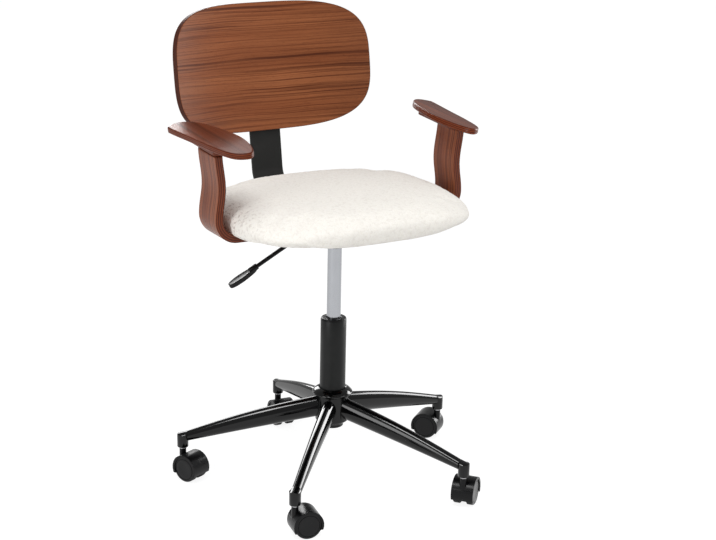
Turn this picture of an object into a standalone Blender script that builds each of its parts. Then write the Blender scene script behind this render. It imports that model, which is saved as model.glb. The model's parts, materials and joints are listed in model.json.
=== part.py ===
"""Desk chair with a bent-ply back, ply arms, a padded seat, a gas lift and a five-star caster base.

The chair faces -Y and +Z is up. The empty column_axis carries everything and stands on the
column's axis. It is set a little off the origin, so that the origin is the middle of the footprint.
"""
import math

import bmesh
import bpy
from mathutils import Matrix, Vector

mm = 0.001

# Clearances
GAP = 0.3 * mm                # between pieces that touch or slide
RUN_GAP = 0.6 * mm            # between a wheel's tread and its hood

# Footprint centre, measured from the column's axis
FOOT_X = 8.974 * mm
FOOT_Y = 30.255 * mm

# Five-star base
LEG_COUNT = 5
LEG_REACH = 297 * mm          # column axis to socket axis
FIRST_LEG_ANGLE = 156.0       # degrees from +X
LEG_ROOT_WIDTH = 30 * mm
LEG_ROOT_HEIGHT = 43.5 * mm
LEG_ROOT_DROP = 2.5 * mm      # top of the root below the hub's cap
LEG_TIP_WIDTH = 19 * mm
LEG_TIP_HEIGHT = 20 * mm
LEG_ARCH = 3 * mm             # how far the leg's middle rises above a straight line
LEG_SWELL = 4.5 * mm          # extra height in the middle
SOCKET_BOTTOM_Z = 64.5 * mm
SOCKET_HEIGHT = 30.5 * mm
SOCKET_RADIUS = 11.2 * mm
HUB_RADIUS = 33 * mm
HUB_BOTTOM_Z = 112.5 * mm
HUB_HEIGHT = 58.5 * mm
HUB_CAP_RADIUS = 40 * mm
HUB_CAP_HEIGHT = 16 * mm
HUB_CAP_RIM = 6 * mm          # widest part of the cap above its foot
HUB_CAP_ROUND = 3 * mm
HUB_LIP = 8 * mm              # how far the hub steps in at its foot

# Gas lift
COLUMN_RADIUS = 25.5 * mm
COLUMN_FOOT_RADIUS = 22.5 * mm
COLUMN_TOP_Z = 329.5 * mm
COLUMN_FOOT_DROP = 7 * mm     # how far the column shows under the hub
COLUMN_WALL = 1.8 * mm
COLUMN_FLOOR = 3 * mm
BUSH_LENGTH = 70 * mm
BUSH_FLANGE = 3 * mm
CYLINDER_RADIUS = 14 * mm
CYLINDER_WALL = 2 * mm
LIFT_TRAVEL = 120 * mm
STOP_GAP = 2 * mm             # between the lowered cylinder and the rod's collar
TAPER_LENGTH = 30 * mm
TAPER_DROP = 0.8 * mm         # loss of radius over the taper
GLAND_LENGTH = 12 * mm
ROD_RADIUS = 5 * mm
ROD_COLLAR = 4 * mm           # height of the collar, and how far it stands out
CLIP_GROOVE = 1 * mm
PISTON_LENGTH = 10 * mm
BEARING_RADIUS = 17 * mm
BEARING_HEIGHT = 6 * mm
CLIP_RADIUS = 9 * mm
CLIP_THICKNESS = 1.5 * mm
VALVE_RADIUS = 3.5 * mm
VALVE_SPARE = 1.9 * mm        # still proud when it is pressed
VALVE_LENGTH = 22 * mm

# Casters
WHEEL_RADIUS = 26.5 * mm
WHEEL_WIDTH = 14.5 * mm
WHEEL_FACETS = 24
AXLE_RADIUS = 3 * mm
AXLE_GRIP = 12 * mm           # length of axle in each wheel
WEB_THICKNESS = 13.4 * mm
WEB_GAP = 0.4 * mm            # between the web and each wheel
TREAD_CHAMFER = 2 * mm
HOOD_WALL = 2 * mm
HOOD_WIDTH = 44 * mm
HOOD_LIP_FRONT_Z = 17 * mm    # lower edge on the stem's side
HOOD_LIP_REAR_Z = 20 * mm
STEM_OFFSET = 21 * mm         # stem axis to wheel axle
STEM_RADIUS = 5.2 * mm
STEM_FOOT_RADIUS = 4 * mm
STEM_DEPTH = 22 * mm          # length of stem in the socket
BOSS_TOP_Z = 61 * mm
BOSS_DEPTH = 26 * mm
BOSS_FLOOR = 4 * mm
CASTER_ANGLES = (-66.0, -10.0, 41.0, 129.7, -93.8)   # degrees from +X, direction of trail

# Seat
SEAT_Z = 537 * mm             # underside of the seat board
SEAT_WIDTH = 488 * mm
SEAT_DEPTH = 410 * mm
SEAT_CENTRE_Y = 1 * mm
SEAT_SQUARENESS = 3.6         # exponent of the rounded outline
CUSHION_EDGE = 46 * mm        # height of the padded edge
CUSHION_CROWN = 55 * mm       # height in the middle
BOARD_THICKNESS = 12 * mm
BOARD_INSET = 26 * mm
COVER_THICKNESS = 0.8 * mm
COVER_INSET = 30 * mm

# Lift plate and lever
PLATE_WIDTH = 150 * mm
PLATE_DEPTH = 186 * mm
PLATE_THICKNESS = 3 * mm
PLATE_CORNER = 12 * mm
PLATE_HOLE_RADIUS = 3.3 * mm
PLATE_HOLE_X = 62 * mm
PLATE_HOLE_Y = 79 * mm
PAN_WIDTH = 96 * mm
PAN_LENGTH = 110 * mm
PAN_DROP = 36 * mm
PAN_CORNER = 16 * mm
PAN_ROUND = 4 * mm
SLOT_ROOM_ABOVE = 1 * mm
SLOT_ROOM_BELOW = 6 * mm
SOCKET_CONE_RADIUS = 21 * mm
CONE_WALL_TOP = 5 * mm
CONE_WALL_FOOT = 3 * mm
LEVER_RADIUS = 4 * mm
LEVER_DROP = 20 * mm          # top of the plate to the rod's centre line
LEVER_SLOPE = 27.5            # degrees below level, outside the pan
LEVER_REACH = 226.5 * mm      # column axis to the paddle's tip
LEVER_TRAVEL = 3.2            # degrees
PADDLE_LENGTH = 62 * mm
PADDLE_WIDTH = 21 * mm
PADDLE_THICKNESS = 10 * mm
PADDLE_DROP = 2 * mm          # middle of the paddle below the rod's axis
PADDLE_ROUND = 2.4 * mm
NECK_WALL = 2.2 * mm
NECK_LENGTH = 14 * mm
NECK_GRIP = 8 * mm            # length of rod in the paddle
LEVER_BEND_X = 14 * mm        # pivot to the bend
LEVER_BLEND = 9 * mm          # length of the bend on each side
LEVER_INNER = 8 * mm          # how far the rod reaches past the valve

# Back
BAR_WIDTH = 68.5 * mm
BAR_THICKNESS = 7 * mm
BAR_BEND = 45 * mm            # radius of the bend on its centre line
BAR_Y = 287 * mm              # front face of the bar where the bend ends
BAR_FRONT_Y = 104 * mm
BACK_LEAN = 9.5               # degrees
BACK_WIDTH = 465 * mm
BACK_HEIGHT = 259.5 * mm
BACK_BOTTOM_Z = 645.5 * mm
BACK_SQUARENESS = 3.3
BACK_HOLLOW = 69 * mm         # how far the edges stand forward of the middle
BACK_THICKNESS = 11 * mm
BAR_OVERLAP = 150 * mm        # length of bar behind the shell

# Arms
ARM_WIDTH = 75 * mm
ARM_THICKNESS = 15.5 * mm
ARM_CENTRE_Y = 6.5 * mm
ARM_INNER_X = 88 * mm
ARM_BULGE_OUT = 16.5 * mm     # seat's edge to the support's centre line, at its widest
ARM_WAIST_OUT = 10.5 * mm     # and at its waist
ARM_TOP_OUT = 17.5 * mm       # and at its top
ARM_BEND = 38 * mm            # radius of the lower bend on its centre line
ARM_WAIST_Z = 625 * mm
REST_Z = 712 * mm             # top of the pad above the support
REST_SLOPE = 9.0              # degrees, the outer side lower
REST_PITCH = 3.0              # degrees, the front end lower
PAD_LENGTH = 250 * mm
PAD_WIDTH = 80 * mm
PAD_THICKNESS = 12 * mm
PAD_ROUND = 2.4 * mm
REST_PLATE_THICKNESS = 10 * mm
REST_PLATE_LENGTH = 131 * mm
REST_PLATE_WIDTH = 31 * mm
REST_PLATE_CORNER = 13 * mm
REST_PLATE_PROUD = 2.5 * mm   # beyond the support's outer face
PLY_EDGE = 1.2 * mm           # softening of the plywood's edges


def srgb(red, green, blue):
    """Turn 0-255 screen values into linear ones."""
    def linear(value):
        value /= 255
        return value / 12.92 if value <= 0.04045 else ((value + 0.055) / 1.055) ** 2.4
    return (linear(red), linear(green), linear(blue), 1.0)


FINISHES = {                  # colour, roughness, metallic
    "walnut": (srgb(140, 85, 55), 0.42, 0.0),
    "lacquered_ply": (srgb(118, 62, 46), 0.22, 0.0),
    "boucle": (srgb(238, 234, 224), 0.95, 0.0),
    "gloss_black": (srgb(22, 22, 23), 0.16, 0.0),
    "satin_black": (srgb(44, 45, 45), 0.42, 0.0),
    "caster_black": (srgb(30, 30, 32), 0.38, 0.0),
    "black_plastic": (srgb(26, 26, 27), 0.45, 0.0),
    "chrome": (srgb(190, 190, 195), 0.08, 1.0),
    "steel": (srgb(165, 165, 168), 0.30, 1.0),
    "plywood": (srgb(190, 155, 112), 0.60, 0.0),
    "dust_cloth": (srgb(24, 24, 24), 0.90, 0.0),
}


def make_collection(name):
    collection = bpy.data.collections.new(name)
    bpy.context.scene.collection.children.link(collection)
    return collection


def finish(obj, name):
    """Give the object its own material in one of the chair's finishes."""
    colour, roughness, metallic = FINISHES[name]
    material = bpy.data.materials.new(obj.name + "_" + name)
    material.use_nodes = True
    shader = material.node_tree.nodes["Principled BSDF"]
    shader.inputs["Base Color"].default_value = colour
    shader.inputs["Roughness"].default_value = roughness
    shader.inputs["Metallic"].default_value = metallic
    material.diffuse_color = colour
    obj.data.materials.clear()
    obj.data.materials.append(material)


def add_empty(name, parent, location=(0, 0, 0), turn=(0, 0, 0)):
    empty = bpy.data.objects.new(name, None)
    empty.empty_display_size = 0.02
    chair.objects.link(empty)
    empty.parent = parent
    empty.location = location
    empty.rotation_euler = turn
    return empty


def add_mesh(name, bm, parent, look=None, location=(0, 0, 0), turn=(0, 0, 0)):
    """Store a bmesh as a named piece of the chair, or as a cutter when it has no look."""
    mesh = bpy.data.meshes.new(name)
    bm.to_mesh(mesh)
    bm.free()
    obj = bpy.data.objects.new(name, mesh)
    obj.parent = parent
    obj.location = location
    obj.rotation_euler = turn
    if look:
        chair.objects.link(obj)
        finish(obj, look)
    else:
        cutters.objects.link(obj)
        obj.hide_render = True
        obj.display_type = "WIRE"
    return obj


def boolean(obj, tool, operation="DIFFERENCE"):
    modifier = obj.modifiers.new(operation.lower(), "BOOLEAN")
    modifier.operation = operation
    modifier.solver = "EXACT"
    modifier.object = tool


def bevel(obj, width, segments=2, angle=40.0):
    modifier = obj.modifiers.new("bevel", "BEVEL")
    modifier.width = width
    modifier.segments = segments
    modifier.limit_method = "ANGLE"
    modifier.angle_limit = math.radians(angle)
    modifier.use_clamp_overlap = True


def bake(obj):
    """Replace the object's mesh and modifiers by the finished mesh, so that copies can share it."""
    bpy.context.view_layer.update()
    finished = obj.evaluated_get(bpy.context.evaluated_depsgraph_get())
    mesh = bpy.data.meshes.new_from_object(finished)
    obj.modifiers.clear()
    obj.data = mesh
    mesh.shade_smooth()
    mesh.set_sharp_from_angle(angle=math.radians(35))
    return obj


def copy_of(obj, name, parent, look, turn=(0, 0, 0)):
    twin = bpy.data.objects.new(name, obj.data.copy())
    chair.objects.link(twin)
    twin.parent = parent
    twin.rotation_euler = turn
    finish(twin, look)
    return twin


def turned(name, profile, parent, look=None, steps=32, closed=False, location=(0, 0, 0), turn=(0, 0, 0)):
    """Revolve (radius, height) points, listed down the outer side, about the local Z axis."""
    bm = bmesh.new()
    points = [bm.verts.new((radius, 0, height)) for radius, height in profile]
    for start, end in zip(points, points[1:]):
        bm.edges.new((start, end))
    if closed:
        bm.edges.new((points[-1], points[0]))
    obj = add_mesh(name, bm, parent, look, location, turn)
    screw = obj.modifiers.new("turned", "SCREW")
    screw.angle = math.tau
    screw.steps = steps
    screw.render_steps = steps
    screw.use_merge_vertices = True
    screw.merge_threshold = 0.00001
    screw.use_smooth_shade = True
    return obj


def rod(name, radius, low, high, parent, steps=16, location=(0, 0, 0), turn=(0, 0, 0)):
    """A plain cylinder along local Z, used as a cutter."""
    bm = bmesh.new()
    bmesh.ops.create_cone(bm, cap_ends=True, segments=steps, radius1=radius, radius2=radius,
                          depth=high - low, matrix=Matrix.Translation((0, 0, (low + high) / 2)))
    return add_mesh(name, bm, parent, None, location, turn)


def box(name, low, high, parent, location=(0, 0, 0), turn=(0, 0, 0)):
    """A plain box between two corners, used as a cutter."""
    low, high = Vector(low), Vector(high)
    size = high - low
    bm = bmesh.new()
    bmesh.ops.create_cube(bm, size=1.0, matrix=Matrix.Translation((low + high) / 2)
                          @ Matrix.Diagonal((size.x, size.y, size.z, 1)))
    return add_mesh(name, bm, parent, None, location, turn)


def prism(name, outline, low, high, parent, look=None, location=(0, 0, 0), turn=(0, 0, 0)):
    """Extrude a flat outline from one height to another."""
    bm = bmesh.new()
    face = bm.faces.new([bm.verts.new((x, y, low)) for x, y in outline])
    grown = bmesh.ops.extrude_face_region(bm, geom=[face])["geom"]
    moved = [item for item in grown if isinstance(item, bmesh.types.BMVert)]
    bmesh.ops.translate(bm, verts=moved, vec=(0, 0, high - low))
    bmesh.ops.recalc_face_normals(bm, faces=bm.faces)
    return add_mesh(name, bm, parent, look, location, turn)


def strip(name, path, across, thickness, parent, look):
    """A bent strip: (x or y, z) points swept along the other level axis, then given a thickness."""
    axis, low, high = across
    bm = bmesh.new()
    rows = []
    for along, height in path:
        if axis == "Y":
            ends = ((along, low, height), (along, high, height))
        else:
            ends = ((low, along, height), (high, along, height))
        rows.append([bm.verts.new(end) for end in ends])
    for row, following in zip(rows, rows[1:]):
        bm.faces.new((row[0], row[1], following[1], following[0]))
    obj = add_mesh(name, bm, parent, look)
    solid = obj.modifiers.new("thickness", "SOLIDIFY")
    solid.thickness = thickness
    solid.offset = 0
    solid.use_even_offset = True
    return obj


def skin(bm, loops):
    """Join closed loops of vertices, one after the other."""
    for loop, following in zip(loops, loops[1:]):
        for index in range(len(loop)):
            after = (index + 1) % len(loop)
            bm.faces.new((loop[index], loop[after], following[after], following[index]))


def superellipse(width, depth, power, steps, centre=(0, 0)):
    """An outline between an ellipse (power 2) and a rectangle."""
    points = []
    for step in range(steps):
        angle = math.tau * (step + 0.5) / steps
        c, s = math.cos(angle), math.sin(angle)
        x = math.copysign(abs(c) ** (2 / power), c) * width / 2
        y = math.copysign(abs(s) ** (2 / power), s) * depth / 2
        points.append((centre[0] + x, centre[1] + y))
    return points


def rounded_rectangle(width, depth, radius, steps=6, centre=(0, 0)):
    points = []
    for quarter in range(4):
        side_x = 1 if quarter in (0, 3) else -1
        side_y = 1 if quarter in (0, 1) else -1
        for step in range(steps + 1):
            angle = math.radians(90 * (quarter + step / steps))
            points.append((centre[0] + side_x * (width / 2 - radius) + radius * math.cos(angle),
                           centre[1] + side_y * (depth / 2 - radius) + radius * math.sin(angle)))
    return points


def arc(centre, radius, start, end, steps):
    """Points on an arc, angles in degrees."""
    points = []
    for step in range(steps + 1):
        angle = math.radians(start + (end - start) * step / steps)
        points.append((centre[0] + radius * math.cos(angle), centre[1] + radius * math.sin(angle)))
    return points


def smooth_outline(points, steps):
    """A closed Catmull-Rom curve through a few points."""
    outline = []
    count = len(points)
    for index in range(count):
        before, start, end, after = (Vector(points[(index + shift) % count]) for shift in (-1, 0, 1, 2))
        for step in range(steps):
            t = step / steps
            outline.append(tuple(0.5 * ((2 * start) + (end - before) * t
                                        + (2 * before - 5 * start + 4 * end - after) * t ** 2
                                        + (3 * start - before - 3 * end + after) * t ** 3)))
    return outline


# Heights and places that follow from the driving sizes
socket_top_z = SOCKET_BOTTOM_Z + SOCKET_HEIGHT
leg_tip_z = socket_top_z - LEG_TIP_HEIGHT / 2
hub_top_z = HUB_BOTTOM_Z + HUB_HEIGHT
leg_root_z = hub_top_z - LEG_ROOT_DROP - LEG_ROOT_HEIGHT / 2
hub_cap_z = hub_top_z + HUB_CAP_HEIGHT
column_foot_z = HUB_BOTTOM_Z - COLUMN_FOOT_DROP
column_floor_z = column_foot_z + COLUMN_FLOOR
bearing_top_z = column_floor_z + GAP + BEARING_HEIGHT
rod_collar_z = bearing_top_z + GAP + ROD_COLLAR
hardware_z = SEAT_Z - COVER_THICKNESS - 2 * GAP          # top of what is screwed under the seat
pan_floor_z = hardware_z - PAN_DROP                      # underside of the pan
lever_z = hardware_z - LEVER_DROP
lever_pivot_x = -(PAN_WIDTH - PLATE_THICKNESS) / 2
valve_top_z = lever_z - LEVER_RADIUS - GAP
valve_press = -lever_pivot_x * math.tan(math.radians(LEVER_TRAVEL))
cylinder_top_z = valve_top_z - valve_press - VALVE_SPARE
cylinder_foot_z = rod_collar_z + STOP_GAP + LIFT_TRAVEL
cone_top_z = cylinder_top_z - 2 * mm
cone_bottom_z = cylinder_top_z - TAPER_LENGTH
piston_z = cylinder_foot_z + GLAND_LENGTH + 2 * mm
arm_bulge_x = SEAT_WIDTH / 2 + ARM_BULGE_OUT
arm_waist_x = SEAT_WIDTH / 2 + ARM_WAIST_OUT
arm_top_x = SEAT_WIDTH / 2 + ARM_TOP_OUT


def column_radius(height):
    """Outer radius of the column, which tapers inside the hub."""
    share = (height - column_foot_z) / (hub_cap_z - column_foot_z)
    return COLUMN_FOOT_RADIUS + (COLUMN_RADIUS - COLUMN_FOOT_RADIUS) * min(1, max(0, share))


def make_base():
    bore_top = column_radius(hub_cap_z) + GAP
    bore_foot = column_radius(HUB_BOTTOM_Z) + GAP
    foot = HUB_RADIUS - HUB_LIP
    rim = (HUB_CAP_RADIUS - HUB_CAP_ROUND, hub_top_z + HUB_CAP_RIM)
    turned("base_hub", [
        (bore_top, hub_cap_z), (bore_top + 1.5 * mm, hub_cap_z),
        *arc(rim, HUB_CAP_ROUND, 55, -60, 4), (HUB_RADIUS, hub_top_z),
        (HUB_RADIUS, HUB_BOTTOM_Z + HUB_LIP), (HUB_RADIUS - 3 * mm, HUB_BOTTOM_Z + 5 * mm),
        (foot, HUB_BOTTOM_Z + 5 * mm), (foot, HUB_BOTTOM_Z),
        (bore_foot, HUB_BOTTOM_Z),
    ], column_axis, "gloss_black", steps=28, closed=True)

    hub_clear = rod("leg_root_cutter", HUB_RADIUS + GAP, 0, COLUMN_TOP_Z, column_axis, 28)
    socket_clear = rod("leg_tip_cutter", SOCKET_RADIUS + GAP, 0, COLUMN_TOP_Z, column_axis, 20,
                       location=(LEG_REACH, 0, 0))
    root = Vector((HUB_RADIUS - 6 * mm, leg_root_z))
    tip = Vector((LEG_REACH - 1 * mm, leg_tip_z))
    stations = 4
    bm = bmesh.new()
    loops = []
    for station in range(stations + 1):
        share = station / stations
        bow = math.sin(math.pi * share)
        out, height = root.lerp(tip, share)
        height += LEG_ARCH * bow
        wide = LEG_ROOT_WIDTH + (LEG_TIP_WIDTH - LEG_ROOT_WIDTH) * share
        tall = LEG_ROOT_HEIGHT + (LEG_TIP_HEIGHT - LEG_ROOT_HEIGHT) * share + LEG_SWELL * bow
        loops.append([bm.verts.new((out, y, height + z)) for y, z in superellipse(wide, tall, 2, 20)])
    skin(bm, loops)
    bm.faces.new(loops[0])
    bm.faces.new(loops[-1])
    bmesh.ops.recalc_face_normals(bm, faces=bm.faces)
    first_leg = add_mesh("base_leg_1", bm, column_axis, "gloss_black")
    boolean(first_leg, hub_clear)
    boolean(first_leg, socket_clear)
    bake(first_leg)
    first_leg.rotation_euler.z = math.radians(FIRST_LEG_ANGLE)
    for number in range(2, LEG_COUNT + 1):
        angle = math.radians(FIRST_LEG_ANGLE + 360 / LEG_COUNT * (number - 1))
        copy_of(first_leg, f"base_leg_{number}", column_axis, "gloss_black", (0, 0, angle))

    bore = STEM_RADIUS + GAP
    roof = SOCKET_BOTTOM_Z + STEM_DEPTH + 1 * mm
    for number, spot in enumerate(socket_spots, 1):
        turned(f"caster_socket_{number}", [
            (0, socket_top_z), (SOCKET_RADIUS - 2 * mm, socket_top_z),
            (SOCKET_RADIUS, socket_top_z - 2 * mm), (SOCKET_RADIUS, SOCKET_BOTTOM_Z + 1 * mm),
            (SOCKET_RADIUS - 1 * mm, SOCKET_BOTTOM_Z), (bore, SOCKET_BOTTOM_Z), (bore, roof), (0, roof),
        ], column_axis, "gloss_black", steps=16, location=(*spot, 0))


def make_gas_lift():
    inner = COLUMN_RADIUS - COLUMN_WALL
    turned("column_tube", [
        (inner, COLUMN_TOP_Z), (COLUMN_RADIUS, COLUMN_TOP_Z), (COLUMN_RADIUS, hub_cap_z),
        (COLUMN_FOOT_RADIUS, column_foot_z), (ROD_RADIUS + GAP, column_foot_z),
        (ROD_RADIUS + GAP, column_floor_z), (COLUMN_FOOT_RADIUS - COLUMN_WALL, column_floor_z),
        (inner, hub_cap_z),
    ], column_axis, "satin_black", steps=28, closed=True)

    sleeve = inner - GAP
    bore = CYLINDER_RADIUS + GAP
    top = COLUMN_TOP_Z + GAP
    turned("guide_bush", [
        (bore, top + BUSH_FLANGE), (COLUMN_RADIUS - 2 * mm, top + BUSH_FLANGE),
        (COLUMN_RADIUS - 0.5 * mm, top + BUSH_FLANGE / 2), (COLUMN_RADIUS - 0.5 * mm, top), (sleeve, top),
        (sleeve, top - BUSH_LENGTH), (bore, top - BUSH_LENGTH),
    ], column_axis, "black_plastic", steps=28, closed=True)

    turned("thrust_bearing", [
        (ROD_RADIUS + GAP, bearing_top_z), (BEARING_RADIUS, bearing_top_z),
        (BEARING_RADIUS, column_floor_z + GAP), (ROD_RADIUS + GAP, column_floor_z + GAP),
    ], column_axis, "steel", steps=20, closed=True)

    collar = ROD_RADIUS + ROD_COLLAR
    groove = ROD_RADIUS - CLIP_GROOVE
    clip_top = column_foot_z - GAP
    clip_foot = clip_top - CLIP_THICKNESS
    piston = CYLINDER_RADIUS - CYLINDER_WALL - GAP
    turned("piston_rod", [
        (0, piston_z + PISTON_LENGTH), (piston, piston_z + PISTON_LENGTH), (piston, piston_z),
        (ROD_RADIUS, piston_z), (ROD_RADIUS, rod_collar_z), (collar, rod_collar_z),
        (collar, bearing_top_z + GAP), (ROD_RADIUS, bearing_top_z + GAP), (ROD_RADIUS, clip_top + GAP),
        (groove, clip_top + GAP), (groove, clip_foot - GAP), (ROD_RADIUS, clip_foot - GAP),
        (ROD_RADIUS, clip_foot - 2 * mm), (0, clip_foot - 2 * mm),
    ], swivel, "steel", steps=16)
    turned("rod_clip", [
        (groove + GAP, clip_top), (CLIP_RADIUS, clip_top),
        (CLIP_RADIUS, clip_foot), (groove + GAP, clip_foot),
    ], swivel, "steel", steps=16, closed=True)

    bore = CYLINDER_RADIUS - CYLINDER_WALL
    valve_bore = VALVE_RADIUS + GAP
    roof = cone_bottom_z - 4 * mm
    turned("gas_cylinder", [
        (valve_bore, cylinder_top_z), (CYLINDER_RADIUS - TAPER_DROP - 1 * mm, cylinder_top_z),
        (CYLINDER_RADIUS - TAPER_DROP, cylinder_top_z - 1 * mm), (CYLINDER_RADIUS, cone_bottom_z),
        (CYLINDER_RADIUS, cylinder_foot_z), (bore, cylinder_foot_z), (bore, roof), (valve_bore, roof),
    ], lift, "chrome", steps=28, closed=True)
    turned("cylinder_gland", [
        (ROD_RADIUS + GAP, cylinder_foot_z + GLAND_LENGTH), (bore - GAP, cylinder_foot_z + GLAND_LENGTH),
        (bore - GAP, cylinder_foot_z + 1 * mm), (ROD_RADIUS + GAP, cylinder_foot_z + 1 * mm),
    ], lift, "black_plastic", steps=20, closed=True)
    turned("valve_pin", [
        (0, valve_top_z), (VALVE_RADIUS - 1 * mm, valve_top_z), (VALVE_RADIUS, valve_top_z - 1 * mm),
        (VALVE_RADIUS, valve_top_z - VALVE_LENGTH), (0, valve_top_z - VALVE_LENGTH),
    ], lift, "steel", steps=16)


def make_caster_parts():
    """Model one caster's pieces, with the axle on local X and the wheels trailing along local +Y."""
    half = HOOD_WIDTH / 2
    web = WEB_THICKNESS / 2
    pocket = WHEEL_RADIUS / math.cos(math.pi / WHEEL_FACETS) + RUN_GAP
    hood_radius = pocket + HOOD_WALL
    centre = (0, STEM_OFFSET, WHEEL_RADIUS)
    across = (0, math.pi / 2, 0)
    bm = bmesh.new()
    bmesh.ops.create_cone(bm, cap_ends=True, segments=24, radius1=hood_radius, radius2=hood_radius,
                          depth=HOOD_WIDTH)
    bmesh.ops.rotate(bm, verts=bm.verts, matrix=Matrix.Rotation(math.pi / 2, 3, "Y"))
    bmesh.ops.translate(bm, verts=bm.verts, vec=centre)
    hood = add_mesh("caster_hood_1", bm, casters[0], "caster_black")
    boss = rod("caster_boss_tool", web, BOSS_TOP_Z - BOSS_DEPTH, BOSS_TOP_Z, casters[0], 16)
    boolean(hood, boss, "UNION")
    for side in (-1, 1):
        low, high = sorted((side * web, side * (half + 10 * mm)))
        boolean(hood, rod(f"wheel_pocket_{side + 1}", pocket, low, high, casters[0], 24, centre, across))
    slope = math.atan2(HOOD_LIP_FRONT_Z - HOOD_LIP_REAR_Z, 2 * hood_radius)
    middle = (HOOD_LIP_FRONT_Z + HOOD_LIP_REAR_Z) / 2
    boolean(hood, box("hood_mouth_cutter", (-2 * half, -3 * half, -2 * half), (2 * half, 3 * half, 0),
                      casters[0], (0, STEM_OFFSET, middle), (-slope, 0, 0)))
    boss_floor_z = BOSS_TOP_Z - BOSS_DEPTH + BOSS_FLOOR
    boolean(hood, rod("stem_bore_cutter", STEM_FOOT_RADIUS + GAP, boss_floor_z, BOSS_TOP_Z + 5 * mm,
                      casters[0], 16))
    boolean(hood, rod("axle_bore_cutter", AXLE_RADIUS + GAP, -half, half, casters[0], 12, centre, across))
    bake(hood)

    wheel_inner = web + WEB_GAP
    tread = WHEEL_RADIUS / math.cos(math.pi / WHEEL_FACETS)     # the flats lie on the wheel's radius
    bore = AXLE_RADIUS + GAP
    deep = wheel_inner + AXLE_GRIP
    face = wheel_inner + WHEEL_WIDTH
    wheel = turned("caster_wheel_1a", [
        (0, face), (tread - TREAD_CHAMFER, face), (tread, face - TREAD_CHAMFER), (tread, wheel_inner),
        (bore, wheel_inner), (bore, deep), (0, deep),
    ], casters[0], "caster_black", steps=WHEEL_FACETS)
    bake(wheel)
    facet = Matrix.Rotation(math.pi / WHEEL_FACETS, 4, "Z")
    wheel.data.transform(Matrix.Translation(centre) @ Matrix.Rotation(math.pi / 2, 4, "Y") @ facet)

    axle = rod("axle_form", AXLE_RADIUS, GAP - deep, deep - GAP, casters[0], 12)
    axle.data.transform(Matrix.Translation(centre) @ Matrix.Rotation(math.pi / 2, 4, "Y"))

    collar_top = SOCKET_BOTTOM_Z - GAP
    collar_foot = BOSS_TOP_Z + GAP
    tip = SOCKET_BOTTOM_Z + STEM_DEPTH
    stem = turned("caster_stem_1", [
        (0, tip), (STEM_RADIUS - 1.5 * mm, tip), (STEM_RADIUS, tip - 1.5 * mm), (STEM_RADIUS, collar_top),
        (web, collar_top), (web, collar_foot), (STEM_FOOT_RADIUS, collar_foot),
        (STEM_FOOT_RADIUS, boss_floor_z + GAP), (0, boss_floor_z + GAP),
    ], casters[0], "steel", steps=12)
    bake(stem)

    for number, caster in enumerate(casters, 1):
        if number > 1:
            copy_of(hood, f"caster_hood_{number}", caster, "caster_black")
            copy_of(wheel, f"caster_wheel_{number}a", caster, "caster_black")
            copy_of(stem, f"caster_stem_{number}", caster, "steel")
        copy_of(axle, f"caster_axle_{number}", caster, "steel")
        far = copy_of(wheel, f"caster_wheel_{number}b", caster, "caster_black")
        far.data.transform(Matrix.Diagonal((-1, 1, 1, 1)))
        far.data.flip_normals()
    bpy.data.objects.remove(axle)


def make_lift_plate():
    wall = PLATE_THICKNESS
    flange = prism("lift_plate", rounded_rectangle(PLATE_WIDTH, PLATE_DEPTH, PLATE_CORNER, 3),
                   hardware_z - wall, hardware_z, lift, "satin_black")
    outside = rounded_rectangle(PAN_WIDTH, PAN_LENGTH, PAN_CORNER, 4)
    inside = rounded_rectangle(PAN_WIDTH - 2 * wall, PAN_LENGTH - 2 * wall, PAN_CORNER - wall, 4)
    shell = prism("pan_form", outside, pan_floor_z, hardware_z + 2 * PAN_ROUND, lift)
    bevel(shell, PAN_ROUND, 2)
    boolean(shell, box("pan_top_cutter", (-PAN_WIDTH, -PAN_LENGTH, hardware_z - wall / 2),
                       (PAN_WIDTH, PAN_LENGTH, hardware_z + 3 * PAN_ROUND), lift))
    hollow = prism("pan_hollow", inside, pan_floor_z + wall, hardware_z + 5 * mm, lift)
    boolean(flange, shell, "UNION")
    boolean(flange, hollow)
    boolean(flange, rod("cone_hole", SOCKET_CONE_RADIUS + GAP, pan_floor_z - 5 * mm, pan_floor_z + 8 * mm,
                        lift, 28))
    half_slot = LEVER_RADIUS + GAP
    slot_low = (lever_pivot_x - 10 * mm, -half_slot, lever_z - LEVER_RADIUS - SLOT_ROOM_BELOW)
    slot_high = (lever_pivot_x + 10 * mm, half_slot, lever_z + LEVER_RADIUS + SLOT_ROOM_ABOVE)
    boolean(flange, box("lever_slot", slot_low, slot_high, lift))
    for side_x in (-1, 1):
        for side_y in (-1, 1):
            boolean(flange, rod(f"plate_hole_{side_x}_{side_y}", PLATE_HOLE_RADIUS, pan_floor_z, SEAT_Z, lift,
                                12, (side_x * PLATE_HOLE_X, side_y * PLATE_HOLE_Y, 0)))
    cone = SOCKET_CONE_RADIUS
    bore = CYLINDER_RADIUS + GAP
    foot = bore + CONE_WALL_FOOT
    turned("taper_socket", [
        (bore - TAPER_DROP, cone_top_z), (bore - TAPER_DROP + CONE_WALL_TOP, cone_top_z),
        (cone, pan_floor_z + wall), (cone, pan_floor_z - wall),
        (foot, cone_bottom_z + 1 * mm), (foot - 1 * mm, cone_bottom_z), (bore, cone_bottom_z),
    ], lift, "satin_black", steps=28, closed=True)


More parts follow.
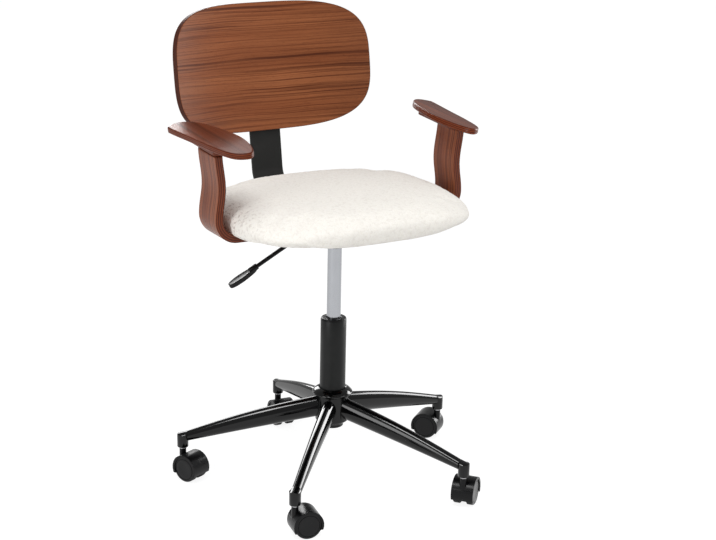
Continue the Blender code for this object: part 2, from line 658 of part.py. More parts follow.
def make_lever():
    slope = math.radians(LEVER_SLOPE)
    out = -LEVER_REACH - lever_pivot_x
    direction = Vector((-math.cos(slope), 0, -math.sin(slope)))
    bend = Vector((-LEVER_BEND_X, 0, 0))
    length = (out - bend.x) / direction.x
    start = bend + direction * (length - PADDLE_LENGTH)
    bm = bmesh.new()
    rows = [Vector((LEVER_INNER - lever_pivot_x, 0, 0))]
    for step in range(5):
        t = step / 4
        near = bend + Vector((LEVER_BLEND, 0, 0)) * (1 - t)
        far = bend + direction * LEVER_BLEND * t
        rows.append(near * (1 - t) + far * t)
    rows.append(start + direction * NECK_GRIP)
    rings = []
    for index, point in enumerate(rows):
        before = rows[max(index - 1, 0)]
        after = rows[min(index + 1, len(rows) - 1)]
        along = (after - before).normalized()
        frame = along.to_track_quat("Z", "Y").to_matrix().to_4x4()
        frame.translation = point
        ring = bmesh.ops.create_circle(bm, segments=12, radius=LEVER_RADIUS, matrix=frame)["verts"]
        rings.append(ring)
    for ring, following in zip(rings, rings[1:]):
        edges = {edge for vert in ring + following for edge in vert.link_edges
                 if all(end in ring for end in edge.verts) or all(end in following for end in edge.verts)}
        bmesh.ops.bridge_loops(bm, edges=list(edges))
    bmesh.ops.holes_fill(bm, edges=[edge for edge in bm.edges if edge.is_boundary], sides=0)
    bmesh.ops.recalc_face_normals(bm, faces=bm.faces)
    add_mesh("lever_rod", bm, lever, "black_plastic")

    # The paddle's outline in shares of its length and width, from the neck to the tip and back
    shares = [(0, 0.30), (0.12, 0.40), (0.60, 0.50), (0.92, 0.42), (1.0, 0.0),
              (0.92, -0.42), (0.60, -0.50), (0.12, -0.40), (0, -0.30)]
    outline = [(x * PADDLE_LENGTH, y * PADDLE_WIDTH) for x, y in smooth_outline(shares, 2)]
    half = PADDLE_THICKNESS / 2
    paddle = prism("lever_paddle", outline, PADDLE_DROP - half, PADDLE_DROP + half, lever, "black_plastic",
                   start, (0, math.pi - slope, 0))
    bevel(paddle, PADDLE_ROUND, 2)
    along = (0, -math.pi / 2 - slope, 0)
    boolean(paddle, rod("paddle_neck_tool", LEVER_RADIUS + NECK_WALL, -4 * mm, NECK_LENGTH, lever, 16,
                        start, along), "UNION")
    boolean(paddle, rod("paddle_bore_cutter", LEVER_RADIUS + GAP, -20 * mm, NECK_GRIP + GAP, lever, 16,
                        start, along))


def cushion_ring(inset, height, steps, corner_drop):
    """One loop of the cushion's cage, with its corners held lower than its sides."""
    ring = []
    for x, y in superellipse(SEAT_WIDTH - 2 * inset, SEAT_DEPTH - 2 * inset, SEAT_SQUARENESS, steps,
                             (0, SEAT_CENTRE_Y)):
        corner = min(1.0, 4 * abs(x * (y - SEAT_CENTRE_Y)) / (SEAT_WIDTH * SEAT_DEPTH) * 1.3)
        ring.append((x, y, SEAT_Z + height - corner_drop * corner))
    return ring


def make_seat():
    steps = 20
    edge = CUSHION_EDGE
    crown = CUSHION_CROWN
    # Inset, height and corner drop of each loop, from the underside outwards and up to the crown
    rings = [
        cushion_ring(34 * mm, 0, steps, 0),
        cushion_ring(12 * mm, 0, steps, 0),
        cushion_ring(1 * mm, edge * 0.22, steps, 0),
        cushion_ring(-3 * mm, edge * 0.55, steps, 2 * mm),
        cushion_ring(8 * mm, edge * 0.94, steps, 4 * mm),
        cushion_ring(42 * mm, edge * 1.14, steps, 4 * mm),
        cushion_ring(SEAT_DEPTH * 0.244, crown, steps, 2 * mm),
        cushion_ring(SEAT_DEPTH * 0.4, crown, steps, 0),
    ]
    bm = bmesh.new()
    loops = [[bm.verts.new(point) for point in ring] for ring in rings]
    skin(bm, loops)
    bm.faces.new(loops[0])
    bm.faces.new(loops[-1])
    bmesh.ops.recalc_face_normals(bm, faces=bm.faces)
    cushion = add_mesh("seat_cushion", bm, lift, "boucle")
    soft = cushion.modifiers.new("soft", "SUBSURF")
    soft.levels = 1
    soft.render_levels = 1

    board_width = SEAT_WIDTH - 2 * BOARD_INSET
    board_depth = SEAT_DEPTH - 2 * BOARD_INSET
    middle = (0, SEAT_CENTRE_Y)
    pocket = superellipse(board_width + 2 * GAP, board_depth + 2 * GAP, SEAT_SQUARENESS, 40, middle)
    boolean(cushion, prism("board_pocket", pocket, SEAT_Z - 10 * mm, SEAT_Z + BOARD_THICKNESS + GAP, lift))
    prism("seat_board", superellipse(board_width, board_depth, SEAT_SQUARENESS, 40, middle), SEAT_Z,
          SEAT_Z + BOARD_THICKNESS, lift, "plywood")
    cover = superellipse(SEAT_WIDTH - 2 * COVER_INSET, SEAT_DEPTH - 2 * COVER_INSET, SEAT_SQUARENESS, 40,
                         middle)
    cover_top = SEAT_Z - GAP
    prism("dust_cover", cover, cover_top - COVER_THICKNESS, cover_top, lift, "dust_cloth")


def make_back():
    lean = math.radians(BACK_LEAN)
    centre_z = hardware_z - BAR_THICKNESS / 2
    bend_y = BAR_Y + BAR_THICKNESS / 2 - BAR_BEND * math.sin(math.pi / 2 - lean)
    path = [(BAR_FRONT_Y, centre_z)]
    path += arc((bend_y, centre_z + BAR_BEND), BAR_BEND, -90, -BACK_LEAN, 8)
    end_y, end_z = path[-1]
    top_z = BACK_BOTTOM_Z + BAR_OVERLAP
    path.append((end_y + (top_z - end_z) * math.tan(lean), top_z))
    half = BAR_WIDTH / 2
    bar = strip("back_bar", path, ("X", -half, half), BAR_THICKNESS, lift, "satin_black")
    bevel(bar, 1 * mm, 1)

    # The shell stands on the bar's front face, so its frame leans with the bar
    tilt = add_empty("back_tilt", lift, (0, end_y, end_z), (-lean, 0, 0))
    radius = ((BACK_WIDTH / 2) ** 2 + BACK_HOLLOW ** 2) / (2 * BACK_HOLLOW)
    bottom = (BACK_BOTTOM_Z - end_z) / math.cos(lean)
    middle = bottom + BACK_HEIGHT / 2
    rear = -BAR_THICKNESS / 2 - GAP
    steps = 48
    bm = bmesh.new()
    loops = []
    for share in (1.0, 0.96, 0.66, 0.33):
        loop = []
        for x, z in superellipse(BACK_WIDTH * share, BACK_HEIGHT * share, BACK_SQUARENESS, steps):
            angle = x / radius
            loop.append(bm.verts.new((radius * math.sin(angle), rear - radius * (1 - math.cos(angle)),
                                      middle + z)))
        loops.append(loop)
    skin(bm, loops)
    pole = bm.verts.new((0, rear, middle))
    last = loops[-1]
    for index in range(steps):
        bm.faces.new((last[index], last[(index + 1) % steps], pole))
    bmesh.ops.recalc_face_normals(bm, faces=bm.faces)
    if bm.faces[0].normal.y > 0:
        bmesh.ops.reverse_faces(bm, faces=bm.faces)
    shell = add_mesh("backrest_shell", bm, tilt, "walnut")
    solid = shell.modifiers.new("thickness", "SOLIDIFY")
    solid.thickness = BACK_THICKNESS
    solid.offset = 1
    solid.use_even_offset = True
    bevel(shell, 1.5 * mm, 1, 60)


def make_arm(side, word):
    """side is 1 for the arm at +X, which is on the sitter's left."""
    centre_z = hardware_z - ARM_THICKNESS / 2
    low = ARM_CENTRE_Y - ARM_WIDTH / 2
    high = ARM_CENTRE_Y + ARM_WIDTH / 2
    path = [(ARM_INNER_X, centre_z)]
    path += arc((arm_bulge_x - ARM_BEND, centre_z + ARM_BEND), ARM_BEND, -90, 0, 7)
    plate_foot = REST_Z - PAD_THICKNESS - REST_PLATE_THICKNESS - 2 * GAP
    stations = [path[-1], (arm_waist_x, ARM_WAIST_Z), (arm_top_x, plate_foot + 6 * mm)]
    for (start_x, start_z), (end_x, end_z) in zip(stations, stations[1:]):
        for step in range(1, 6):
            t = step / 5
            ease = (1 - math.cos(math.pi * t)) / 2
            path.append((start_x + (end_x - start_x) * ease, start_z + (end_z - start_z) * t))
    path = [(side * x, z) for x, z in path]
    support = strip(f"arm_support_{word}", path, ("Y", low, high), ARM_THICKNESS, lift, "lacquered_ply")
    bevel(support, PLY_EDGE, 1)

    slope = math.radians(REST_SLOPE) * side
    rest = add_empty(f"arm_rest_{word}", lift, (side * arm_top_x, 0, REST_Z),
                     (math.radians(REST_PITCH), slope, 0))
    plate_top = -PAD_THICKNESS - GAP
    plate_low = plate_top - REST_PLATE_THICKNESS
    boolean(support, box(f"arm_top_cutter_{word}", (-PAD_WIDTH, -PAD_LENGTH, plate_low - GAP),
                         (PAD_WIDTH, PAD_LENGTH, plate_low + PAD_WIDTH), rest))
    plate_x = ARM_THICKNESS / 2 + REST_PLATE_PROUD - REST_PLATE_WIDTH / 2
    outline = rounded_rectangle(REST_PLATE_WIDTH, REST_PLATE_LENGTH, REST_PLATE_CORNER, 4,
                                (side * plate_x, low + REST_PLATE_LENGTH / 2))
    plate = prism(f"arm_plate_{word}", outline, plate_low, plate_top, rest, "lacquered_ply")
    bevel(plate, PLY_EDGE, 1)

    # The pad's outline in shares of its width, outwards from the support, and of its length, backwards
    shape = [(0.281, 0.192), (0.381, 0.472), (0.331, 0.528), (0.081, 0.56), (-0.169, 0.512),
             (-0.40, 0.376), (-0.569, 0.128), (-0.631, -0.096), (-0.544, -0.304), (-0.40, -0.42),
             (-0.219, -0.438), (0.031, -0.352), (0.181, -0.12)]
    outline = smooth_outline([(side * x * PAD_WIDTH, y * PAD_LENGTH) for x, y in shape], 3)
    pad = prism(f"arm_pad_{word}", outline, -PAD_THICKNESS, 0, rest, "lacquered_ply")
    bevel(pad, PAD_ROUND, 2)


for leftover in list(bpy.data.objects):
    bpy.data.objects.remove(leftover)
chair = make_collection("desk_chair")
cutters = make_collection("cutters")

column_axis = add_empty("column_axis", None, (-FOOT_X, -FOOT_Y, 0))
swivel = add_empty("seat_swivel", column_axis)
lift = add_empty("seat_lift", swivel)
lever = add_empty("lever_pivot", lift, (lever_pivot_x, 0, lever_z))
socket_spots = []
for leg in range(LEG_COUNT):
    turn_angle = math.radians(FIRST_LEG_ANGLE + 360 / LEG_COUNT * leg)
    socket_spots.append((LEG_REACH * math.cos(turn_angle), LEG_REACH * math.sin(turn_angle)))
casters = []
for leg, caster_spot in enumerate(socket_spots):
    trail = math.radians(CASTER_ANGLES[leg] - 90)
    casters.append(add_empty(f"caster_swivel_{leg + 1}", column_axis, (*caster_spot, 0), (0, 0, trail)))

make_base()
make_gas_lift()
make_caster_parts()
make_lift_plate()
make_lever()
make_seat()
make_back()
make_arm(-1, "right")
make_arm(1, "left")
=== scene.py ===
import json
import math

import bmesh
import bpy
from mathutils import Euler, Matrix, Vector, noise

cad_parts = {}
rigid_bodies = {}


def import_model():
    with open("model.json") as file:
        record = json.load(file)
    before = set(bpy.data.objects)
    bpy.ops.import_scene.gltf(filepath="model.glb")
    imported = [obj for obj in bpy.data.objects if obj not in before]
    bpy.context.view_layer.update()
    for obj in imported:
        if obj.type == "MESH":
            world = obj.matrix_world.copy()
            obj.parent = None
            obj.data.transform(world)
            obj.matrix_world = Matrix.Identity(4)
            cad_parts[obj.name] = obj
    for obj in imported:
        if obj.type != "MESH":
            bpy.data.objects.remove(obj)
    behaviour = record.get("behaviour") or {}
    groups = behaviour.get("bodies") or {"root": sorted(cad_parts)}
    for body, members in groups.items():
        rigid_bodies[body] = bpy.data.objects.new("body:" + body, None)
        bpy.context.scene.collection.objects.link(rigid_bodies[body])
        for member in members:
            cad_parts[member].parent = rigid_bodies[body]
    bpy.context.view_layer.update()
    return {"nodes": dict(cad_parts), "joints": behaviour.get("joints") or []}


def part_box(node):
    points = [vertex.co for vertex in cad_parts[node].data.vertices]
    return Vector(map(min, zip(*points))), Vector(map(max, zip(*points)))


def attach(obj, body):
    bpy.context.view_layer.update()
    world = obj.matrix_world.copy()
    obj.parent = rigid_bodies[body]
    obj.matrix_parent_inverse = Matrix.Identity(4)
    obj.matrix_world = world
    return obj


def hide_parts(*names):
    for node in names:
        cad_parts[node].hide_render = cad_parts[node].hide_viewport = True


for startObject in list(bpy.data.objects):
    bpy.data.objects.remove(startObject)
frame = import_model()
print("frame loaded:", len(frame["nodes"]), "nodes")

mm = 0.001
joints = {joint["name"]: joint for joint in frame["joints"]}
casterCount = 5


def floorSpot(joint):
    return Vector(joints[joint]["pos_m"]) * Vector((1, 1, 0))


columnAxis = floorSpot("seat_swivel")


# Working in object and edit mode

def setMode(mode):
    bpy.ops.object.mode_set(mode=mode)


def selectAll():
    bpy.ops.mesh.select_all(action="SELECT")


def deselectAll():
    if bpy.context.object and bpy.context.object.mode == "EDIT":
        setMode("OBJECT")
    bpy.ops.object.select_all(action="DESELECT")


def activate(obj):
    deselectAll()
    obj.select_set(True)
    bpy.context.view_layer.objects.active = obj


def named(name):
    obj = bpy.context.object
    obj.name = name
    obj.data.name = name
    return obj


def settle(obj):
    # put the object's place, turn and size into its mesh
    activate(obj)
    bpy.ops.object.transform_apply(location=True, rotation=True, scale=True)


def pick(obj, test):
    # in edit mode, select the faces that pass a test on their middle and normal
    setMode("EDIT")
    bpy.ops.mesh.select_mode(type="FACE")
    bpy.ops.mesh.select_all(action="DESELECT")
    mesh = bmesh.from_edit_mesh(obj.data)
    for face in mesh.faces:
        face.select_set(test(face.calc_center_median(), face.normal))
    mesh.select_flush_mode()
    bmesh.update_edit_mesh(obj.data)


def tidyMesh(obj, softAngle=35):
    # close the seams, point the faces out and shade by angle
    activate(obj)
    setMode("EDIT")
    selectAll()
    bpy.ops.mesh.remove_doubles(threshold=0.00002)
    bpy.ops.mesh.normals_make_consistent(inside=False)
    setMode("OBJECT")
    bpy.ops.object.shade_smooth_by_angle(angle=math.radians(softAngle))


def applyModifiers(obj):
    activate(obj)
    for modifier in list(obj.modifiers):
        bpy.ops.object.modifier_apply(modifier=modifier.name)


def addModifier(obj, name, kind, **settings):
    modifier = obj.modifiers.new(name, kind)
    for key, value in settings.items():
        setattr(modifier, key, value)
    return modifier


def softenEdges(obj, width, segments=3, angle=35):
    addModifier(obj, "edges", "BEVEL", width=width, segments=segments, limit_method="ANGLE",
                angle_limit=math.radians(angle), harden_normals=False)
    applyModifiers(obj)


def thicken(obj, thickness, offset):
    addModifier(obj, "thickness", "SOLIDIFY", thickness=thickness, offset=offset, use_even_offset=True)
    applyModifiers(obj)
    tidyMesh(obj)


def extrude(*move):
    bpy.ops.mesh.extrude_region_move(TRANSFORM_OT_translate={"value": move})


def turnPiece(name, profile, place=(0, 0, 0), segments=64, ring=False):
    # a circle, extruded and scaled from one (radius, height) to the next; a ring's profile closes on itself
    deselectAll()
    centre = Vector(place)
    radius, height = profile[0]
    fill = "NOTHING" if ring else "NGON"
    bpy.ops.mesh.primitive_circle_add(vertices=segments, radius=radius, fill_type=fill,
                                      location=centre + Vector((0, 0, height)))
    obj = named(name)
    setMode("EDIT")
    bpy.ops.mesh.select_mode(type="VERT")
    selectAll()
    path = profile + [profile[0]] if ring else profile
    for (before, low), (after, high) in zip(path, path[1:]):
        extrude(0, 0, high - low)
        grow = after / before
        bpy.ops.transform.resize(value=(grow, grow, 1), center_override=centre + Vector((0, 0, high)))
    setMode("OBJECT")
    settle(obj)
    tidyMesh(obj)
    return obj


def roundCorner(centre, radius, start, end, steps=6):
    # (radius, height) points round a corner of a profile, angles in degrees
    points = []
    for step in range(steps + 1):
        angle = math.radians(start + (end - start) * step / steps)
        points.append((centre[0] + radius * math.cos(angle), centre[1] + radius * math.sin(angle)))
    return points


def arcPath(*values):
    return [Vector(point) for point in roundCorner(*values)]


def near(radius, height, *offsets):
    # profile points, each given in millimetres out from a radius and up from a height
    return [(radius + out * mm, height + up * mm) for out, up in offsets]


def limited(value):
    return min(1, max(0, value))


def copyPiece(obj, name, turn=0.0, place=(0, 0, 0)):
    activate(obj)
    bpy.ops.object.duplicate()
    twin = named(name)
    twin.location = place
    twin.rotation_euler = (0, 0, turn)
    settle(twin)
    return twin


def combine(obj, tool, operation):
    activate(obj)
    addModifier(obj, operation.lower(), "BOOLEAN", operation=operation, solver="EXACT", object=tool)
    applyModifiers(obj)
    bpy.data.objects.remove(tool)


def storeGrain(obj, measure):
    # the wood's own coordinates at each vertex: along the grain, across it and into the sheet
    attribute = obj.data.attributes.new("grain", "FLOAT_VECTOR", "POINT")
    for vertex, value in zip(obj.data.vertices, attribute.data):
        value.vector = measure(vertex.co)


def fit(obj, material, body, slot, *nodes):
    obj.data.materials.clear()
    obj.data.materials.append(material)
    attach(obj, body)
    if nodes:
        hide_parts(*nodes)
    return obj


def turnOnColumn(name, profile, material, body, slot, node):
    fit(turnPiece(name, profile, columnAxis, 96, ring=True), material, body, slot, node)


# Materials

def srgb(red, green, blue):
    def linear(value):
        value /= 255
        return value / 12.92 if value <= 0.04045 else ((value + 0.055) / 1.055) ** 2.4
    return (linear(red), linear(green), linear(blue), 1.0)


def setSocket(tree, socket, value):
    if isinstance(value, bpy.types.NodeSocket):
        tree.links.new(value, socket)
    else:
        socket.default_value = value


def addNode(tree, kind, inputs=None, **settings):
    node = tree.nodes.new(kind)
    for key, value in settings.items():
        setattr(node, key, value)
    for key, value in (inputs or {}).items():
        setSocket(tree, node.inputs[key], value)
    return node


def addMath(tree, operation, first, second=0.5):
    return addNode(tree, "ShaderNodeMath", {0: first, 1: second}, operation=operation).outputs[0]


def addVector(tree, operation, first, second):
    key = "Scale" if operation == "SCALE" else 1
    return addNode(tree, "ShaderNodeVectorMath", {0: first, key: second}, operation=operation).outputs[0]


def addRange(tree, value, low, high, toLow=0.0, toHigh=1.0):
    return addNode(tree, "ShaderNodeMapRange", {"Value": value, "From Min": low, "From Max": high,
                                                "To Min": toLow, "To Max": toHigh}).outputs["Result"]


def addMix(tree, factor, first, second, blend="MIX"):
    inputs = {0: factor, 6: first, 7: second}
    return addNode(tree, "ShaderNodeMix", inputs, data_type="RGBA", blend_type=blend).outputs[2]


def addShade(tree, color, shade):
    # the colour made lighter or darker by a number
    grey = addNode(tree, "ShaderNodeCombineColor", {0: shade, 1: shade, 2: shade}).outputs[0]
    return addMix(tree, 1.0, color, grey, "MULTIPLY")


def addNoise(tree, vector, stretch, detail=2.0, roughness=0.5):
    scaled = addVector(tree, "MULTIPLY", vector, stretch)
    return addNode(tree, "ShaderNodeTexNoise", {"Vector": scaled, "Scale": 1.0, "Detail": detail,
                                                "Roughness": roughness}).outputs["Fac"]


def objectPlace(tree):
    return addNode(tree, "ShaderNodeTexCoord").outputs["Object"]


def newGroup(name, inputs, outputs):
    group = bpy.data.node_groups.new(name, "ShaderNodeTree")
    for direction, sockets in (("INPUT", inputs), ("OUTPUT", outputs)):
        for socketName, kind in sockets:
            group.interface.new_socket(name=socketName, in_out=direction, socket_type="NodeSocket" + kind)
    entry = addNode(group, "NodeGroupInput")
    leave = addNode(group, "NodeGroupOutput")
    return group, entry.outputs, leave.inputs


def useGroup(tree, group, inputs):
    return addNode(tree, "ShaderNodeGroup", inputs, node_tree=group).outputs


def newMaterial(name, **settings):
    material = bpy.data.materials.new(name)
    material.use_nodes = True
    shader = material.node_tree.nodes["Principled BSDF"]
    for key, value in settings.items():
        shader.inputs[key].default_value = value
    return material, material.node_tree, shader


def addBump(tree, shader, height, distance, strength=1.0):
    bump = addNode(tree, "ShaderNodeBump", {"Height": height, "Distance": distance, "Strength": strength})
    tree.links.new(bump.outputs["Normal"], shader.inputs["Normal"])


# each layer of the grain: its stretch along and across, its detail and roughness, and what its range becomes
grainLook = {
    "sway": {"stretch": (3.2, 11.0, 11.0), "noise": (2.0, 0.5), "range": (0.0, 1.0, -0.008, 0.008)},
    "tone": {"stretch": (1.6, 16.0, 16.0), "noise": (3.0, 0.6), "range": (0.34, 0.66)},
    "lines": {"stretch": (1.0, 235.0, 235.0), "noise": (1.0, 0.5), "range": (0.54, 0.63)},
    "thin": {"stretch": (2.6, 620.0, 620.0), "noise": (1.0, 0.5), "range": (0.55, 0.62, 0.0, 0.6)},
    "strength": {"stretch": (4.0, 42.0, 42.0), "noise": (1.0, 0.5), "range": (0.38, 0.6, 0.25, 1.0)},
    "streaks": {"stretch": (7.0, 620.0, 620.0), "noise": (3.0, 0.65), "range": (0.3, 0.7, 0.84, 1.12)},
    "pores": {"stretch": (85.0, 1900.0, 1900.0), "noise": (1.0, 0.5), "range": (0.62, 0.72)},
    "poreDark": 0.45, "streakHeight": 0.25,
}


def makeWoodGroup():
    # long wavy dark lines, fine streaks and open pores along the first coordinate
    group, source, result = newGroup("woodGrain", [
        ("Place", "Vector"), ("Pale", "Color"), ("Deep", "Color"), ("Line", "Color"),
        ("Line Amount", "Float"),
    ], [("Color", "Color"), ("Roughness", "Float"), ("Height", "Float")])

    def layer(name, place):
        look = grainLook[name]
        value = addNoise(group, place, look["stretch"], *look["noise"])
        return value, addRange(group, value, *look["range"])

    sway = layer("sway", source["Place"])[1]
    swayMove = addNode(group, "ShaderNodeCombineXYZ", {"Y": sway}).outputs[0]
    place = addVector(group, "ADD", source["Place"], swayMove)
    tone = layer("tone", place)[1]
    lines = layer("lines", place)[1]
    thin = layer("thin", place)[1]
    strength = layer("strength", place)[1]
    streaks, streakShade = layer("streaks", place)
    pores = layer("pores", place)[1]
    body = addMix(group, tone, source["Deep"], source["Pale"])
    lineMask = addMath(group, "MAXIMUM", addMath(group, "MULTIPLY", lines, strength), thin)
    lineMask = addMath(group, "MULTIPLY", lineMask, source["Line Amount"])
    streaked = addShade(group, addMix(group, lineMask, body, source["Line"]), streakShade)
    poreMask = addMath(group, "MULTIPLY", pores, grainLook["poreDark"])
    group.links.new(addMix(group, poreMask, streaked, source["Line"]), result["Color"])
    low, high = grainLook["streaks"]["range"][:2]
    group.links.new(addRange(group, streaks, low, high), result["Roughness"])
    height = addMath(group, "SUBTRACT", addMath(group, "MULTIPLY", streaks, grainLook["streakHeight"]), pores)
    group.links.new(height, result["Height"])
    return group


plyLook = {"fibre": (240.0, 240.0, 1500.0), "fibreShade": (0.3, 0.7, 0.78, 1.16), "glueWidth": 0.22,
           "glueAmount": 0.75, "face": (0.90, 0.965)}


def makePlyGroup():
    # the cut edge of bent ply: thin veneers with dark glue lines, seen by how deep in the sheet a point lies
    group, source, result = newGroup("plyEdge", [
        ("Place", "Vector"), ("Half", "Float"), ("Plies", "Float"), ("Veneer", "Color"), ("Face", "Color"),
        ("Core", "Color"), ("Glue", "Color"),
    ], [("Color", "Color"), ("Edge", "Float")])
    depth = addNode(group, "ShaderNodeSeparateXYZ", {0: source["Place"]}).outputs["Z"]
    share = addMath(group, "DIVIDE", depth, source["Half"])
    count = addMath(group, "MULTIPLY", addRange(group, share, -1.0, 1.0), source["Plies"])
    within = addMath(group, "FRACT", count)
    odd = addMath(group, "MODULO", addMath(group, "FLOOR", count), 2.0)
    fibre = addNoise(group, source["Place"], plyLook["fibre"], 2.0, 0.6)
    plies = addMix(group, odd, source["Core"], source["Veneer"])
    plies = addShade(group, plies, addRange(group, fibre, *plyLook["fibreShade"]))
    glueMask = addMath(group, "SUBTRACT", 1.0, addRange(group, within, 0.0, plyLook["glueWidth"]))
    plies = addMix(group, addMath(group, "MULTIPLY", glueMask, plyLook["glueAmount"]), plies, source["Glue"])
    edge = addRange(group, addMath(group, "ABSOLUTE", share), *plyLook["face"], 1.0, 0.0)
    group.links.new(addMix(group, edge, source["Face"], plies), result["Color"])
    group.links.new(edge, result["Edge"])
    return group


coatCloud = {"stretch": (26.0, 26.0, 26.0), "noise": (3.0, 0.6), "dust": (0.5, 0.75), "gloss": (0.3, 0.7)}


def makeCoatGroup():
    # paint or moulded plastic: a faint pebble, cloudy gloss and a little dust in cloudy patches
    group, source, result = newGroup("coatSurface", [
        ("Color", "Color"), ("Dust", "Color"), ("Dust Amount", "Float"), ("Pebble", "Float"),
        ("Roughness", "Float"), ("Spread", "Float"),
    ], [("Color", "Color"), ("Roughness", "Float"), ("Height", "Float")])
    place = objectPlace(group)
    pebble = source["Pebble"]
    pebbleScale = addNode(group, "ShaderNodeCombineXYZ", {"X": pebble, "Y": pebble, "Z": pebble}).outputs[0]
    cloud = addNoise(group, place, coatCloud["stretch"], *coatCloud["noise"])
    dustMask = addMath(group, "MULTIPLY", addRange(group, cloud, *coatCloud["dust"]), source["Dust Amount"])
    group.links.new(addMix(group, dustMask, source["Color"], source["Dust"]), result["Color"])
    low = addMath(group, "SUBTRACT", source["Roughness"], source["Spread"])
    high = addMath(group, "ADD", source["Roughness"], source["Spread"])
    group.links.new(addRange(group, cloud, *coatCloud["gloss"], low, high), result["Roughness"])
    group.links.new(addNoise(group, place, pebbleScale), result["Height"])
    return group


woodGroup = makeWoodGroup()
plyGroup = makePlyGroup()
coatGroup = makeCoatGroup()

woodLooks = {
    "walnut": {
        "pale": srgb(159, 95, 58), "deep": srgb(134, 73, 41), "line": srgb(76, 30, 8), "lineAmount": 0.85,
        # painted shade: the walnut is painted darker towards the panel's +X side
        "paintedShadeFrom": -0.12, "paintedShadeTo": 0.21, "shade": 0.68,
        "veneer": srgb(84, 44, 30), "core": srgb(58, 28, 22), "glue": srgb(34, 16, 13),
        "plies": 8, "roughness": 0.50, "spread": 0.07, "specular": 0.12, "bump": 0.00008,
    },
    "lacquered": {
        "pale": srgb(152, 86, 54), "deep": srgb(112, 54, 30), "line": srgb(58, 23, 11), "lineAmount": 0.7,
        "paintedShadeFrom": 0.0, "paintedShadeTo": 1.0, "shade": 1.0,
        "veneer": srgb(126, 62, 36), "core": srgb(78, 33, 20), "glue": srgb(38, 15, 11),
        "plies": 7, "roughness": 0.40, "spread": 0.05, "specular": 0.12, "bump": 0.00008,
    },
}
# painted shade: the pads' copy of the lacquer is painted darker than the supports' and plates'
woodLooks["lacqueredPad"] = dict(woodLooks["lacquered"], pale=srgb(124, 64, 40), deep=srgb(90, 41, 24),
                                 roughness=0.34, specular=0.07)


def spreadRoughness(tree, shader, value, look, low=0.0, high=1.0):
    middle, spread = look["roughness"], look["spread"]
    rough = addRange(tree, value, low, high, middle - spread, middle + spread)
    tree.links.new(rough, shader.inputs["Roughness"])


def makeWood(name, look, thickness, coat=0.0):
    material, tree, shader = newMaterial(name, **{"Coat Weight": coat, "Coat Roughness": 0.12,
                                                "Specular IOR Level": look["specular"]})
    place = addNode(tree, "ShaderNodeAttribute", attribute_name="grain").outputs["Vector"]
    wood = useGroup(tree, woodGroup, {"Place": place, "Pale": look["pale"], "Deep": look["deep"],
                                      "Line": look["line"], "Line Amount": look["lineAmount"]})
    ply = useGroup(tree, plyGroup, {"Place": place, "Half": thickness / 2, "Plies": look["plies"],
                                    "Veneer": look["veneer"], "Face": wood["Color"], "Core": look["core"],
                                    "Glue": look["glue"]})
    # painted shade: the colour darkens along the grain's first coordinate, which on the walnut back darkens
    # the panel towards its +X side
    along = addNode(tree, "ShaderNodeSeparateXYZ", {0: place}).outputs["X"]
    shade = addRange(tree, along, look["paintedShadeFrom"], look["paintedShadeTo"], 1.0, look["shade"])
    tree.links.new(addShade(tree, ply["Color"], shade), shader.inputs["Base Color"])
    spreadRoughness(tree, shader, wood["Roughness"], look)
    addBump(tree, shader, wood["Height"], look["bump"], 0.6)
    return material


coatLooks = {
    "glossBlack": {"color": srgb(3, 3, 4), "dust": srgb(60, 58, 56), "dustAmount": 0.01, "pebble": 160.0,
                   "roughness": 0.10, "spread": 0.02, "bump": 0.00001, "specular": 0.32},
    "columnBlack": {"color": srgb(20, 21, 21), "dust": srgb(80, 79, 77), "dustAmount": 0.06, "pebble": 1500.0,
                    "roughness": 0.42, "spread": 0.04, "bump": 0.00006, "specular": 0.22},
    "satinBlack": {"color": srgb(30, 31, 31), "dust": srgb(80, 79, 77), "dustAmount": 0.06, "pebble": 1500.0,
                   "roughness": 0.40, "spread": 0.04, "bump": 0.00006, "specular": 0.22},
    "barBlack": {"color": srgb(36, 36, 35), "dust": srgb(80, 79, 77), "dustAmount": 0.05, "pebble": 1500.0,
                 "roughness": 0.50, "spread": 0.04, "bump": 0.00005, "specular": 0.12},
    "casterBlack": {"color": srgb(7, 7, 9), "dust": srgb(70, 68, 66), "dustAmount": 0.06, "pebble": 1900.0,
                    "roughness": 0.29, "spread": 0.04, "bump": 0.00002, "specular": 0.2},
    "casterGloss": {"color": srgb(6, 6, 8), "dust": srgb(60, 58, 57), "dustAmount": 0.04, "pebble": 900.0,
                    "roughness": 0.24, "spread": 0.04, "bump": 0.00002, "specular": 0.25},
    "leverBlack": {"color": srgb(17, 17, 18), "dust": srgb(70, 69, 67), "dustAmount": 0.05, "pebble": 1400.0,
                   "roughness": 0.42, "spread": 0.05, "bump": 0.00003, "specular": 0.2},
    "treadBlack": {"color": srgb(14, 14, 16), "dust": srgb(96, 92, 86), "dustAmount": 0.15, "pebble": 1200.0,
                   "roughness": 0.62, "spread": 0.06, "bump": 0.00008, "specular": 0.15},
}


def makeCoat(name, look):
    material, tree, shader = newMaterial(name, **{"Specular IOR Level": look["specular"]})
    coat = useGroup(tree, coatGroup, {"Color": look["color"], "Dust": look["dust"],
                                      "Dust Amount": look["dustAmount"], "Pebble": look["pebble"],
                                      "Roughness": look["roughness"], "Spread": look["spread"]})
    for output, socket in (("Color", "Base Color"), ("Roughness", "Roughness")):
        tree.links.new(coat[output], shader.inputs[socket])
    addBump(tree, shader, coat["Height"], look["bump"], 0.8)
    return material


metalLooks = {
    # edge: how much darker the colour is painted towards the silhouette, as painted shade
    "chrome": {"color": srgb(170, 172, 176), "haze": srgb(150, 150, 155), "roughness": 0.14, "spread": 0.03,
               "stretch": (900.0, 900.0, 30.0), "bump": 0.000004, "edge": 0.88},
    "steel": {"color": srgb(180, 180, 182), "haze": srgb(150, 150, 155), "roughness": 0.30, "spread": 0.06,
              "stretch": (500.0, 500.0, 500.0), "bump": 0.00001, "edge": 1.0},
}


